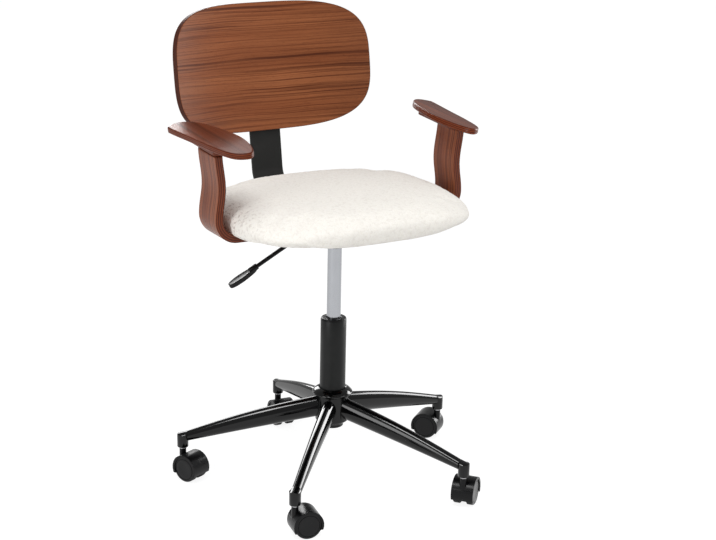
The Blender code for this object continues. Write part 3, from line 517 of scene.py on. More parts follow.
def makeMetal(name, look):
    material, tree, shader = newMaterial(name, Metallic=1.0)
    place = objectPlace(tree)
    lines = addNoise(tree, place, look["stretch"], 3.0, 0.6)
    cloud = addNoise(tree, place, (40.0, 40.0, 40.0))
    tint = addMix(tree, addRange(tree, cloud, 0.3, 0.7, 0.0, 0.12), look["color"], look["haze"])
    # painted shade: the metal's colour darkens towards its silhouette, where the surface turns away from the
    # camera
    facing = addNode(tree, "ShaderNodeLayerWeight", {"Blend": 0.5}).outputs["Facing"]
    shade = addRange(tree, facing, 0.12, 0.8, 1.0, look["edge"])
    tree.links.new(addShade(tree, tint, shade), shader.inputs["Base Color"])
    spreadRoughness(tree, shader, cloud, look, 0.3, 0.7)
    addBump(tree, shader, lines, look["bump"], 0.5)
    return material


# the last keys set painted shade: how much stronger the brown gaps are painted towards the cushion's sides
# and rear
boucleLook = {
    "loop": srgb(249, 246, 240), "tuft": srgb(243, 239, 231), "gap": srgb(122, 90, 70), "warpScale": 240.0,
    "warp": 0.007, "curlScale": 215.0, "curl": (0.1, 0.75), "yarnScale": 1300.0, "yarnHeight": 0.45,
    "tuftScale": 420.0, "bump": 0.0008, "open": (0.22, 0.42), "underNub": (0.1, 0.6, 1.0, 0.5),
    "gapTop": 0.09, "gapShaded": 0.8, "side": (0.185, 0.245), "rear": (-0.13, 0.0),
}


def makeBoucle():
    # looped yarn: pale curls, with the brown ground showing between them;
    # the brown is painted stronger towards the sides and the rear, as painted shade
    look = boucleLook
    material, tree, shader = newMaterial("boucle", **{"Roughness": 0.95, "Sheen Weight": 0.25,
                                                      "Sheen Roughness": 0.5, "Specular IOR Level": 0.1})
    place = objectPlace(tree)
    warp = addNode(tree, "ShaderNodeTexNoise", {"Vector": place, "Scale": look["warpScale"], "Detail": 2.0})
    offset = addVector(tree, "SUBTRACT", warp.outputs["Color"], (0.5, 0.5, 0.5))
    moved = addVector(tree, "ADD", place, addVector(tree, "SCALE", offset, look["warp"]))
    curls = addNode(tree, "ShaderNodeTexVoronoi", {"Vector": moved, "Scale": look["curlScale"]},
                    feature="SMOOTH_F1").outputs["Distance"]
    yarn = addNoise(tree, moved, (look["yarnScale"],) * 3, 2.0, 0.6)
    nub = addNode(tree, "ShaderNodeAttribute", attribute_name="nub").outputs["Fac"]
    cloud = addNoise(tree, place, (look["tuftScale"],) * 3)
    curlTop = addMath(tree, "SUBTRACT", 1.0, addRange(tree, curls, *look["curl"]))
    height = addMath(tree, "ADD", curlTop, addMath(tree, "MULTIPLY", yarn, look["yarnHeight"]))
    light = addMix(tree, addRange(tree, cloud, 0.35, 0.65), look["tuft"], look["loop"])
    opened = addMath(tree, "MULTIPLY", addRange(tree, curlTop, *look["open"], 1.0, 0.0),
                     addRange(tree, nub, *look["underNub"]))
    # painted shade: the gaps are painted browner towards the cushion's sides and rear, where shade falls
    middle = addVector(tree, "SUBTRACT", place, tuple(columnAxis))
    parts = addNode(tree, "ShaderNodeSeparateXYZ", {0: middle}).outputs
    across = addRange(tree, addMath(tree, "ABSOLUTE", parts["X"]), *look["side"])
    rear = addRange(tree, parts["Y"], *look["rear"])
    shadedSides = addMath(tree, "MULTIPLY", across, rear)
    gap = addMath(tree, "MULTIPLY", opened, addRange(tree, shadedSides, 0.0, 1.0, look["gapTop"], look["gapShaded"]))
    tree.links.new(addMix(tree, gap, light, look["gap"]), shader.inputs["Base Color"])
    addBump(tree, shader, height, look["bump"], 0.8)
    return material


def makeClothUnder():
    material, tree, shader = newMaterial("dustCloth", **{"Roughness": 0.9, "Sheen Weight": 0.1})
    mat = addNoise(tree, objectPlace(tree), (700.0, 700.0, 700.0), 4.0, 0.7)
    color = addMix(tree, addRange(tree, mat, 0.3, 0.7), srgb(16, 16, 16), srgb(40, 40, 40))
    tree.links.new(color, shader.inputs["Base Color"])
    addBump(tree, shader, mat, 0.0002, 0.6)
    return material


def makeBarePly():
    material, tree, shader = newMaterial("barePly", Roughness=0.65)
    wood = useGroup(tree, woodGroup, {"Place": objectPlace(tree), "Pale": srgb(200, 168, 124),
                                      "Deep": srgb(180, 146, 104), "Line": srgb(140, 106, 72),
                                      "Line Amount": 0.4})
    tree.links.new(wood["Color"], shader.inputs["Base Color"])
    addBump(tree, shader, wood["Height"], 0.00015, 0.6)
    return material


coats = {name: makeCoat(name, look) for name, look in coatLooks.items()}
metals = {name: makeMetal(name, look) for name, look in metalLooks.items()}
boucle = makeBoucle()
dustCloth = makeClothUnder()
barePly = makeBarePly()
print("materials ready")


# Base: hub, legs and sockets

hub = {
    "radius": 33 * mm, "capRadius": 40 * mm, "capHeight": 16 * mm, "capRim": 6 * mm, "capRound": 3 * mm,
    "bore": 25.8 * mm, "groove": 1.6 * mm, "footStep": 8 * mm, "crown": 0.9 * mm,
}


def makeHub():
    low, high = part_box("base_hub")
    top = high.z
    seat = top - hub["capHeight"]
    radius = hub["radius"]
    rimMiddle = (hub["capRadius"] - hub["capRound"], seat + hub["capRim"])
    profile = near(hub["bore"], top, (0, -3))
    profile += near(hub["bore"] + hub["groove"], top, (0, -2.6), (0.3, -0.6), (0.9, 0))
    # the cap falls away a little rounder than a cone
    start = Vector(profile[-1])
    end = Vector(roundCorner(rimMiddle, hub["capRound"], 58, 58, 1)[0])
    for step in range(1, 8):
        share = step / 8
        crown = Vector((0.62, 0.78)) * hub["crown"] * math.sin(math.pi * share)
        profile.append(tuple(start.lerp(end, share) + crown))
    profile += roundCorner(rimMiddle, hub["capRound"], 58, -62, 8)
    profile += near(radius, seat, (1.0, 1.2), (0, 0))
    profile += near(radius, low.z, (0, 8))
    profile += roundCorner((radius - 3 * mm, low.z + 8 * mm), 3 * mm, -15, -90, 5)
    profile += near(radius - hub["footStep"], low.z, (0.5, 5), (0, 4.5), (0, 1), (-0.8, 0))
    profile += near(hub["bore"], low.z, (-2.7, 0))
    turnOnColumn("hub", profile, coats["glossBlack"], "base", "gloss_black", "base_hub")


leg = {
    "reach": 297 * mm, "firstAngle": 156.0, "rootOut": 27 * mm, "rootWidth": 30 * mm, "rootHeight": 43.5 * mm,
    "rootDrop": 2.5 * mm, "tipWidth": 19 * mm, "tipHeight": 20 * mm, "tipLap": 1 * mm, "arch": 3 * mm,
    "swell": 4.5 * mm, "loops": 22, "socketRadius": 11.2 * mm, "socketLap": 2.5 * mm, "capDepth": 3.5 * mm,
    "capFall": 0.94,
}


def legTurn(number):
    return math.radians(leg["firstAngle"] + 360 / casterCount * (number - 1))


def makeLegs():
    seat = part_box("base_hub")[1].z - hub["capHeight"]
    socketLow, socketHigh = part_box("caster_socket_1")
    root = Vector((leg["rootOut"], seat - leg["rootDrop"] - leg["rootHeight"] / 2))
    tip = Vector((leg["reach"] - leg["tipLap"], socketHigh.z - leg["tipHeight"] / 2))
    deselectAll()
    bpy.ops.mesh.primitive_cylinder_add(vertices=72, radius=0.5, depth=1, rotation=(0, math.pi / 2, 0),
                                        location=(0.5, 0, 0))
    master = named("legForm")
    settle(master)
    setMode("EDIT")
    for step in range(1, leg["loops"]):
        selectAll()
        bpy.ops.mesh.bisect(plane_co=(step / leg["loops"], 0, 0), plane_no=(1, 0, 0))
    setMode("OBJECT")
    # the leg bows up a little between hub and socket, and thins towards the socket
    last = (leg["reach"] - leg["socketRadius"] + leg["socketLap"] - root.x) / (tip.x - root.x)
    for vertex in master.data.vertices:
        share = vertex.co.x * last
        bow = math.sin(math.pi * share)
        out, height = root.lerp(tip, share)
        wide = leg["rootWidth"] + (leg["tipWidth"] - leg["rootWidth"]) * share
        tall = leg["rootHeight"] + (leg["tipHeight"] - leg["rootHeight"]) * share + leg["swell"] * bow
        vertex.co = (out, vertex.co.y * wide, height + leg["arch"] * bow + vertex.co.z * tall)
    tidyMesh(master)
    for number in range(1, casterCount + 1):
        piece = copyPiece(master, f"leg{number}", legTurn(number), columnAxis)
        fit(piece, coats["glossBlack"], "base", "gloss_black", f"base_leg_{number}")
    bpy.data.objects.remove(master)

    # the sockets' tops carry the leg's slope and its rounded top on
    radius = leg["socketRadius"]
    low, high = socketLow.z, socketHigh.z
    shoulder = high - leg["capDepth"]
    profile = near(0, low, (5.6, 0)) + near(radius, low, (-1.4, 0), (-0.4, 0.4), (0, 1.4))
    profile += near(radius, shoulder, (0, -0.5), (-0.35, 0))
    profile += [(radius * share, shoulder) for share in (0.93, 0.84, 0.72, 0.58, 0.42, 0.24, 0.05)]
    master = turnPiece("socketForm", profile)
    slope = (root.y - tip.y) / (tip.x - root.x)
    for vertex in master.data.vertices:
        if vertex.co.z > shoulder - 0.1 * mm:
            across = min(1, abs(vertex.co.y) / radius)
            fall = leg["tipHeight"] / 2 * (1 - math.sqrt(1 - (across * leg["capFall"]) ** 2))
            vertex.co.z = high - fall - slope * vertex.co.x
    tidyMesh(master, 40)
    for number in range(1, casterCount + 1):
        piece = copyPiece(master, f"socket{number}", legTurn(number), floorSpot(f"caster_swivel_{number}"))
        fit(piece, coats["glossBlack"], "base", "gloss_black", f"caster_socket_{number}")
    bpy.data.objects.remove(master)
    print("base ready")


makeHub()
makeLegs()


# Gas lift

lift = {
    "columnRadius": 25.5 * mm, "columnWall": 1.8 * mm, "footRadius": 22.5 * mm, "lip": 0.8 * mm,
    "cylinderRadius": 14 * mm, "bushRadius": 25 * mm,
}


def makeLift():
    low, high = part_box("column_tube")
    radius, lip = lift["columnRadius"], lift["lip"]
    inner = radius - lift["columnWall"]
    profile = near(inner, high.z, (0, -60)) + [(inner, high.z - lip / 2), (inner + lip / 2, high.z)]
    profile += [(radius - lip, high.z), (radius - lip * 0.3, high.z - lip * 0.3), (radius, high.z - lip)]
    profile += near(radius, high.z, (0, -40)) + [(radius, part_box("base_hub")[1].z)]
    profile += near(lift["footRadius"], low.z, (0, 0.8), (-0.8, 0))
    profile += near(0, low.z, (5.3, 0), (5.3, 3)) + near(inner, low.z, (-2.5, 3))
    turnOnColumn("column", profile, coats["columnBlack"], "base", "satin_black", "column_tube")

    low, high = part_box("guide_bush")
    flange = high.z - 3 * mm
    bore = lift["cylinderRadius"] + 0.35 * mm
    rim = lift["bushRadius"]
    profile = [(bore, low.z)] + near(bore, high.z, (0, -1.2), (1.4, 0))
    profile += near(rim, high.z, (-4, 0), (-2, -0.2), (-0.6, -1.0)) + near(rim, flange, (0, 0.8), (0, 0))
    profile += near(inner, flange, (-0.35, 0)) + near(inner, low.z, (-0.35, 0))
    turnOnColumn("guideBush", profile, coats["leverBlack"], "base", "black_plastic", "guide_bush")

    low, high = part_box("gas_cylinder")
    radius = lift["cylinderRadius"]
    profile = near(0, high.z, (3.9, 0)) + near(radius, high.z, (-1.8, 0), (-0.9, -0.9), (0, -30))
    profile += near(radius, low.z, (0, 0.8), (-0.6, 0), (-2, 0)) + near(radius, high.z, (-2, -34))
    profile += near(0, high.z, (3.9, -34))
    turnOnColumn("cylinder", profile, metals["chrome"], "seat", "chrome", "gas_cylinder")

    low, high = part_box("taper_socket")
    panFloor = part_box("lift_plate")[0].z
    cone = high.x - columnAxis.x
    profile = near(0, high.z, (13.6, 0), (17.6, 0), (18.4, -0.8))
    profile += near(cone, panFloor, (-0.6, 3), (0, 2), (0, -2.4), (-0.7, -3.4))
    profile += near(0, low.z, (17.6, 1.2), (16.6, 0), (14.4, 0))
    turnOnColumn("taperSocket", profile, coats["satinBlack"], "seat", "satin_black", "taper_socket")
    print("gas lift ready")


makeLift()


# Casters, modelled on their swivel axis with the axle along X and the wheels behind it along +Y

caster = {
    "axleBehind": 21 * mm, "wheelRadius": 26.5 * mm, "wheelWidth": 13.1 * mm, "wheelGap": 0.4 * mm,
    "faceFrom": 11.5 * mm, "capRadius": 20.5 * mm, "web": 13.4 * mm, "hoodWidth": 44 * mm,
    "hoodRadius": 29.3 * mm, "hoodWall": 2 * mm, "hoodEdge": 0.55 * mm, "lipWall": 5.0 * mm,
    "lipDepth": 1.3 * mm, "lipStep": 0.1 * mm, "lipFront": 14 * mm, "lipRear": 17 * mm,
    "bossTop": 61 * mm, "bossDepth": 26 * mm,
}


def makeHood():
    middle = Vector((0, caster["axleBehind"], caster["wheelRadius"]))
    radius = caster["hoodRadius"]
    deselectAll()
    bpy.ops.mesh.primitive_cylinder_add(vertices=96, radius=radius, depth=caster["hoodWidth"],
                                        rotation=(0, math.pi / 2, 0), location=middle)
    hood = named("hoodForm")
    settle(hood)
    pick(hood, lambda centre, normal: abs(normal.x) > 0.9)
    bpy.ops.mesh.inset(thickness=caster["lipWall"], use_individual=True)
    depth = (caster["hoodWidth"] - caster["web"]) / 2
    grow = (radius - caster["hoodWall"]) / (radius - caster["lipWall"])
    for side in (-1, 1):
        # a lip that turns in over the wheel's edge, then the pocket as far as the web
        pick(hood, lambda centre, normal: normal.x * side > 0.9 and (centre - middle).yz.length < 1 * mm)
        extrude(-side * caster["lipDepth"], 0, 0)
        extrude(-side * caster["lipStep"], 0, 0)
        bpy.ops.transform.resize(value=(1, grow, grow), center_override=middle)
        extrude(side * (caster["lipDepth"] + caster["lipStep"] - depth), 0, 0)
    # the mouth is one slanting cut, lower at the front
    front, rear = caster["lipFront"], caster["lipRear"]
    slope = math.atan2(front - rear, 2 * radius)
    selectAll()
    bpy.ops.mesh.bisect(plane_co=(0, caster["axleBehind"], (front + rear) / 2),
                        plane_no=(0, math.sin(slope), math.cos(slope)), use_fill=True, clear_inner=True)
    setMode("OBJECT")
    deselectAll()
    bpy.ops.mesh.primitive_cylinder_add(vertices=48, radius=caster["web"] / 2, depth=caster["bossDepth"],
                                        location=(0, 0, caster["bossTop"] - caster["bossDepth"] / 2))
    combine(hood, bpy.context.object, "UNION")
    tidyMesh(hood)
    softenEdges(hood, caster["hoodEdge"], 2, 40)
    return hood


def makeWheel():
    # one twin wheel on +X: a tread with rounded shoulders and a dished face inside a raised rim
    inner = caster["web"] / 2 + caster["wheelGap"]
    face = inner + caster["wheelWidth"]
    radius = caster["wheelRadius"]
    profile = near(0, inner, (3.3, 0)) + near(radius, inner, (-2, 0))
    profile += roundCorner((radius - 1.5 * mm, inner + 1.5 * mm), 1.5 * mm, -80, 0, 4)
    profile += near(radius, inner, (0, 7))
    profile += roundCorner((radius - 2.6 * mm, face - 2.6 * mm), 2.6 * mm, 0, 84, 7)
    profile += near(caster["capRadius"], face, (1.0, 0), (0.5, -0.9), (0, -0.9), (-0.4, -0.1), (-1.5, 0.1))
    profile += near(caster["capRadius"], face, (-7, -0.3)) + near(0, face, (4, -0.6), (0.4, -0.6))
    wheel = turnPiece("wheelForm", profile, segments=72)
    wheel.rotation_euler = (0, math.pi / 2, 0)
    wheel.location = (0, caster["axleBehind"], radius)
    settle(wheel)
    return wheel


def makeStem():
    low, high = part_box("caster_stem_1")
    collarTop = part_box("caster_socket_1")[0].z - 0.3 * mm
    collarFoot = caster["bossTop"] + 0.3 * mm
    collar = caster["web"] / 2
    profile = near(0, low.z, (0.4, 0), (4, 0)) + near(0, collarFoot, (4, 0))
    profile += near(collar, collarFoot, (-0.4, 0), (0, 0.4)) + near(collar, collarTop, (0, -0.4), (-0.4, 0))
    profile += near(0, collarTop, (5.2, 0)) + near(0, high.z, (5.2, -1.5), (3.7, 0), (0.4, 0))
    return turnPiece("stemForm", profile, segments=48)


def makeCasters():
    hood = makeHood()
    wheel = makeWheel()
    stem = makeStem()
    middle = Matrix.Translation((0, caster["axleBehind"], 0))
    acrossAxle = middle @ Matrix.Rotation(math.pi, 4, "Z") @ middle.inverted()
    for number in range(1, casterCount + 1):
        spot = floorSpot(f"caster_swivel_{number}")
        axle = floorSpot(f"wheel_spin_{number}a")
        back = axle - spot
        turn = math.atan2(back.y, back.x) - math.pi / 2
        body = f"caster_{number}"
        piece = copyPiece(hood, f"hood{number}", turn, spot)
        fit(piece, coats["casterBlack"], body, "caster_black", f"caster_hood_{number}")
        piece = copyPiece(stem, f"stem{number}", turn, spot)
        fit(piece, metals["steel"], body, "steel", f"caster_stem_{number}")
        for letter in "ab":
            piece = copyPiece(wheel, f"wheel{number}{letter}")
            if letter == "b":
                piece.data.transform(acrossAxle)
            piece.data.transform(Matrix.Translation(spot) @ Matrix.Rotation(turn, 4, "Z"))
            fit(piece, coats["treadBlack"], f"wheel_{number}{letter}", "caster_black",
                f"caster_wheel_{number}{letter}")
            paintWheel(piece, axle, turn)
    for master in (hood, wheel, stem):
        bpy.data.objects.remove(master)
    print("casters ready")


def paintWheel(piece, axle, turn):
    # the tread keeps its own dull finish, and the face is smooth moulded plastic
    piece.data.materials.append(coats["casterGloss"])
    axis = Vector((math.cos(turn), math.sin(turn), 0))
    centre = Vector((axle.x, axle.y, caster["wheelRadius"]))
    for face in piece.data.polygons:
        along = abs((face.center - centre).dot(axis))
        if along > caster["web"] / 2 + caster["faceFrom"]:
            face.material_index = 1


makeCasters()


# Lever

lever = {
    "radius": 4 * mm, "slope": 27.5, "bendX": 14 * mm, "blend": 9 * mm, "bendSteps": 8, "inner": 8 * mm,
    "reach": 226.5 * mm, "grip": 8 * mm, "paddleLength": 62 * mm, "paddleWidth": 21 * mm,
    "paddleThickness": 10 * mm, "paddleDrop": 2 * mm, "paddleEdge": 2.0 * mm, "endRound": 0.8,
    "sideRound": 0.72, "neckShare": 0.70, "fullFrom": 0.55, "dishRim": 3.4 * mm, "dish": 0.9 * mm,
    "neckWall": 2.2 * mm, "neckLength": 14 * mm, "neckSunk": 4 * mm, "neckEdge": 1.2 * mm,
}


def signedPower(value, power):
    return math.copysign(abs(value) ** power, value)


def makeLever():
    pivot = Vector(joints["lever_pull"]["pos_m"])
    slope = math.radians(lever["slope"])
    direction = Vector((-math.cos(slope), 0, -math.sin(slope)))
    bend = pivot + Vector((-lever["bendX"], 0, 0))
    paddleTip = columnAxis.x - lever["reach"]
    length = (paddleTip - bend.x) / direction.x
    neck = bend + direction * (length - lever["paddleLength"])
    route = [Vector((columnAxis.x + lever["inner"], pivot.y, pivot.z))]
    for step in range(lever["bendSteps"] + 1):
        t = step / lever["bendSteps"]
        before = bend + Vector((lever["blend"], 0, 0)) * (1 - t)
        after = bend + direction * lever["blend"] * t
        route.append(before * (1 - t) + after * t)
    route.append(neck + direction * lever["grip"])
    deselectAll()
    bpy.ops.curve.primitive_nurbs_path_add()
    rod = named("leverRod")
    rod.data.splines.clear()
    spline = rod.data.splines.new("POLY")
    spline.points.add(len(route) - 1)
    for point, place in zip(spline.points, route):
        point.co = (*(place - rod.location), 1)
    rod.data.bevel_depth = lever["radius"]
    rod.data.bevel_resolution = 6
    rod.data.use_fill_caps = True
    activate(rod)
    bpy.ops.object.convert(target="MESH")
    rod = bpy.context.object
    settle(rod)
    tidyMesh(rod)
    fit(rod, coats["leverBlack"], "lever", "black_plastic", "lever_rod")

    # the paddle is a flat oval that narrows to its neck, dished on top
    deselectAll()
    bpy.ops.mesh.primitive_cylinder_add(vertices=72, radius=1, depth=lever["paddleThickness"],
                                        location=(0, 0, lever["paddleDrop"]))
    paddle = named("leverPaddle")
    settle(paddle)
    for vertex in paddle.data.vertices:
        angle = math.atan2(vertex.co.y, vertex.co.x)
        along = signedPower(math.cos(angle), lever["endRound"]) * 0.5 + 0.5
        width = signedPower(math.sin(angle), lever["sideRound"]) / 2
        narrow = lever["neckShare"] + (1 - lever["neckShare"]) * min(1, along / lever["fullFrom"])
        vertex.co.x = along * lever["paddleLength"]
        vertex.co.y = width * lever["paddleWidth"] * narrow
    for side in (-1, 1):
        pick(paddle, lambda centre, normal: normal.z * side > 0.9)
        bpy.ops.mesh.inset(thickness=lever["dishRim"])
        bpy.ops.transform.translate(value=(0, 0, -side * lever["dish"]))
    setMode("OBJECT")
    tidyMesh(paddle)
    softenEdges(paddle, lever["paddleEdge"], 4, 40)
    deselectAll()
    neckLength, sunk = lever["neckLength"], lever["neckSunk"]
    bpy.ops.mesh.primitive_cylinder_add(vertices=40, radius=lever["radius"] + lever["neckWall"],
                                        depth=neckLength + sunk, rotation=(0, math.pi / 2, 0),
                                        location=((neckLength - sunk) / 2, 0, 0))
    collar = named("neckForm")
    settle(collar)
    softenEdges(collar, lever["neckEdge"], 3, 40)
    combine(paddle, collar, "UNION")
    tidyMesh(paddle, 40)
    paddle.rotation_euler = (0, math.pi - slope, 0)
    paddle.location = neck
    settle(paddle)
    fit(paddle, coats["leverBlack"], "lever", "black_plastic", "lever_paddle")
    print("lever ready")


makeLever()


# Bent pieces: a flat grid laid along a path, given its thickness and rounded

def bentSheet(name, path, width, thickness, across, edge):
    # path: 2D points (level, height); across: the axis that the sheet's width lies along
    deselectAll()
    bpy.ops.mesh.primitive_grid_add(x_subdivisions=len(path) - 1, y_subdivisions=8, size=1)
    sheet = named(name)
    for vertex in sheet.data.vertices:
        level, height = path[round((vertex.co.x + 0.5) * (len(path) - 1))]
        side = vertex.co.y * width
        vertex.co = (side, level, height) if across == "X" else (level, side, height)
    thicken(sheet, thickness, 0)
    softenEdges(sheet, edge, 3, 50)
    return sheet


def pathGrain(path):
    # where a point of an arm's sheet lies along its path, across it and into its thickness
    def measure(point):
        nearest = None
        run = 0.0
        for start, end in zip(path, path[1:]):
            stroke = end - start
            spot = Vector((point.x, point.z)) - start
            share = limited(spot.dot(stroke) / stroke.length_squared)
            distance = (spot - stroke * share).length
            if nearest is None or distance < nearest[0]:
                depth = (stroke.x * spot.y - stroke.y * spot.x) / stroke.length
                nearest = (distance, run + stroke.length * share, depth)
            run += stroke.length
        return (nearest[1], point.y, nearest[2])
    return measure


# Back bar and back panel

bar = {
    "width": 68.5 * mm, "thickness": 7 * mm, "bend": 45 * mm, "faceY": 287 * mm, "frontY": 104 * mm,
    "edge": 1.4 * mm, "lean": 9.5, "topZ": 795.5 * mm,
}
panel = {
    "width": 465 * mm, "height": 259.5 * mm, "bottomZ": 645.5 * mm, "squareness": 3.3, "hollow": 69 * mm,
    "thickness": 11 * mm, "edge": 1.6 * mm, "gap": 0.3 * mm,
}


def makeBack():
    lean = math.radians(bar["lean"])
    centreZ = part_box("back_bar")[0].z + bar["thickness"] / 2
    bendY = columnAxis.y + bar["faceY"] + bar["thickness"] / 2 - bar["bend"] * math.cos(lean)
    path = [Vector((columnAxis.y + bar["frontY"] + share * 0.02, centreZ)) for share in (0, 1, 3)]
    path += arcPath((bendY, centreZ + bar["bend"]), bar["bend"], -90, -bar["lean"], 24)
    end = path[-1]
    for share in (0.05, 0.25, 0.5, 0.75, 1.0):
        height = (bar["topZ"] - end.y) * share
        path.append(Vector((end.x + height * math.tan(lean), end.y + height)))
    piece = bentSheet("backBar", path, bar["width"], bar["thickness"], "X", bar["edge"])
    piece.data.transform(Matrix.Translation((columnAxis.x, 0, 0)))
    fit(piece, coats["barBlack"], "seat", "satin_black", "back_bar")

    # the panel: a grid pressed into a rounded oblong, curved round the sitter, then thickened forwards
    half = Vector((panel["width"] / 2, panel["height"] / 2))
    power = panel["squareness"]
    radius = (half.x ** 2 + panel["hollow"] ** 2) / (2 * panel["hollow"])
    rear = -bar["thickness"] / 2 - panel["gap"]
    deselectAll()
    bpy.ops.mesh.primitive_grid_add(x_subdivisions=72, y_subdivisions=48, size=2,
                                    rotation=(math.pi / 2, 0, 0))
    back = named("backPanel")
    settle(back)
    for vertex in back.data.vertices:
        u, v = vertex.co.x, vertex.co.z
        reach = max(abs(u), abs(v))
        shrink = reach / (abs(u) ** power + abs(v) ** power) ** (1 / power) if reach > 0 else 1
        angle = u * shrink * half.x / radius
        vertex.co = (radius * math.sin(angle), rear - radius * (1 - math.cos(angle)), v * shrink * half.y)
    thicken(back, panel["thickness"], 1)
    softenEdges(back, panel["edge"], 4, 50)

    def grain(point):
        centre = Vector((0, rear - radius))
        spoke = Vector((point.x, point.y)) - centre
        along = math.atan2(spoke.x, spoke.y) * radius
        return (along, point.z, radius - spoke.length - panel["thickness"] / 2)
    storeGrain(back, grain)
    bottom = (panel["bottomZ"] - end.y) / math.cos(lean)
    back.location = (columnAxis.x, end.x, end.y)
    back.rotation_euler = (-lean, 0, 0)
    back.data.transform(Matrix.Translation((0, 0, bottom + half.y)))
    settle(back)
    fit(back, makeWood("walnut", woodLooks["walnut"], panel["thickness"]), "seat", "walnut", "backrest_shell")
    print("back ready")


makeBack()


# Arms

arm = {
    "width": 75 * mm, "thickness": 15.5 * mm, "centreY": 6.5 * mm, "innerX": 88 * mm, "bulgeX": 260.5 * mm,
    "waistX": 254.5 * mm, "topX": 261.5 * mm, "bend": 38 * mm, "waistZ": 625 * mm, "restZ": 712 * mm,
    "slope": 9.0, "pitch": 3.0, "padThickness": 12 * mm, "padEdge": 2.6 * mm, "gap": 0.3 * mm,
    "plateThickness": 10 * mm, "plateLength": 131 * mm, "plateWidth": 31 * mm, "plateProud": 2.5 * mm,
    "plateCorner": 13 * mm, "edge": 1.6 * mm,
}

# the pad's outline in millimetres: outwards from the support, and back from the column
padOutline = [(22.5, 48), (30.5, 118), (26.5, 132), (6.5, 140), (-13.5, 128), (-32, 94), (-45.5, 32),
              (-50.5, -24), (-43.5, -76), (-32, -105), (-17.5, -109.5), (2.5, -88), (14.5, -30)]


def smoothLoop(points, steps):
    # a closed smooth curve through the points
    loop = []
    count = len(points)
    for index in range(count):
        before, start, end, after = (Vector(points[(index + shift) % count]) for shift in (-1, 0, 1, 2))
        pull = 2 * before - 5 * start + 4 * end - after
        twist = 3 * start - before - 3 * end + after
        for step in range(steps):
            t = step / steps
            loop.append(0.5 * (2 * start + (end - before) * t + pull * t ** 2 + twist * t ** 3))
    return loop


def flatSlab(name, outline, thickness, edge):
    # a filled circle whose points go to the outline, extruded down from the top
    deselectAll()
    bpy.ops.mesh.primitive_circle_add(vertices=len(outline), radius=1, fill_type="NGON")
    slab = named(name)
    for vertex, spot in zip(slab.data.vertices, outline):
        vertex.co = (spot.x, spot.y, 0)
    setMode("EDIT")
    extrude(0, 0, -thickness)
    setMode("OBJECT")
    tidyMesh(slab)
    softenEdges(slab, edge, 4, 50)
    for flat in (-1, 1):
        pick(slab, lambda centre, normal: normal.z * flat > 0.99)
        bpy.ops.mesh.inset(thickness=2 * mm)
    setMode("OBJECT")
    return slab


def makeArm(side, word, materials):
    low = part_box(f"arm_support_{word}")[0].z
    centreZ = low + arm["thickness"] / 2
    slope = math.radians(arm["slope"]) * side
    rest = Matrix.Translation(columnAxis + Vector((side * arm["topX"], 0, arm["restZ"])))
    rest = rest @ Euler((math.radians(arm["pitch"]), slope, 0)).to_matrix().to_4x4()

    path = [Vector((arm["innerX"] + share * 0.02, centreZ)) for share in (0, 2, 4)]
    path += arcPath((arm["bulgeX"] - arm["bend"], centreZ + arm["bend"]), arm["bend"], -90, 0, 20)
    plateFoot = arm["restZ"] - arm["padThickness"] - arm["plateThickness"] - 2 * arm["gap"]
    stations = [path[-1], Vector((arm["waistX"], arm["waistZ"])), Vector((arm["topX"], plateFoot + 6 * mm))]
    for start, end in zip(stations, stations[1:]):
        for step in range(1, 15):
            t = step / 14
            ease = (1 - math.cos(math.pi * t)) / 2
            path.append(Vector((start.x + (end.x - start.x) * ease, start.y + (end.y - start.y) * t)))
    path = [Vector((columnAxis.x + side * point.x, point.y)) for point in path]
    support = bentSheet(f"armSupport{word.title()}", path, arm["width"], arm["thickness"], "Y", arm["edge"])
    storeGrain(support, pathGrain(path))
    support.data.transform(Matrix.Translation((0, columnAxis.y + arm["centreY"], 0)))
    plateTop = -arm["padThickness"] - arm["gap"]
    cut = rest @ Vector((0, 0, plateTop - arm["plateThickness"] - arm["gap"]))
    up = rest.to_3x3() @ Vector((0, 0, 1))
    activate(support)
    setMode("EDIT")
    selectAll()
    bpy.ops.mesh.bisect(plane_co=cut, plane_no=up, use_fill=True, clear_outer=True)
    setMode("OBJECT")
    fit(support, materials["support"], "seat", "lacquered_ply", f"arm_support_{word}")

    corner = arm["plateCorner"]
    halfWidth = arm["plateWidth"] / 2
    halfLength = arm["plateLength"] / 2
    across = side * (arm["thickness"] / 2 + arm["plateProud"] - halfWidth)
    along = arm["centreY"] - arm["width"] / 2 + halfLength
    outline = []
    for quarter, (sideX, sideY) in enumerate(((1, 1), (-1, 1), (-1, -1), (1, -1))):
        middle = (across + sideX * (halfWidth - corner), along + sideY * (halfLength - corner))
        outline += arcPath(middle, corner, 90 * quarter, 90 * quarter + 90, 8)
    plate = flatSlab(f"armPlate{word.title()}", outline, arm["plateThickness"], arm["edge"])
    half = arm["plateThickness"] / 2
    storeGrain(plate, lambda point: (point.y, point.x, point.z + half))
    plate.matrix_world = rest @ Matrix.Translation((0, 0, plateTop))
    settle(plate)
    fit(plate, materials["plate"], "seat", "lacquered_ply", f"arm_plate_{word}")

    outline = smoothLoop([(side * x * mm, y * mm) for x, y in padOutline], 8)
    pad = flatSlab(f"armPad{word.title()}", outline, arm["padThickness"], arm["padEdge"])
    storeGrain(pad, lambda point: (point.y, point.x, point.z + arm["padThickness"] / 2))
    pad.matrix_world = rest
    settle(pad)
    fit(pad, materials["pad"], "seat", "lacquered_ply", f"arm_pad_{word}")


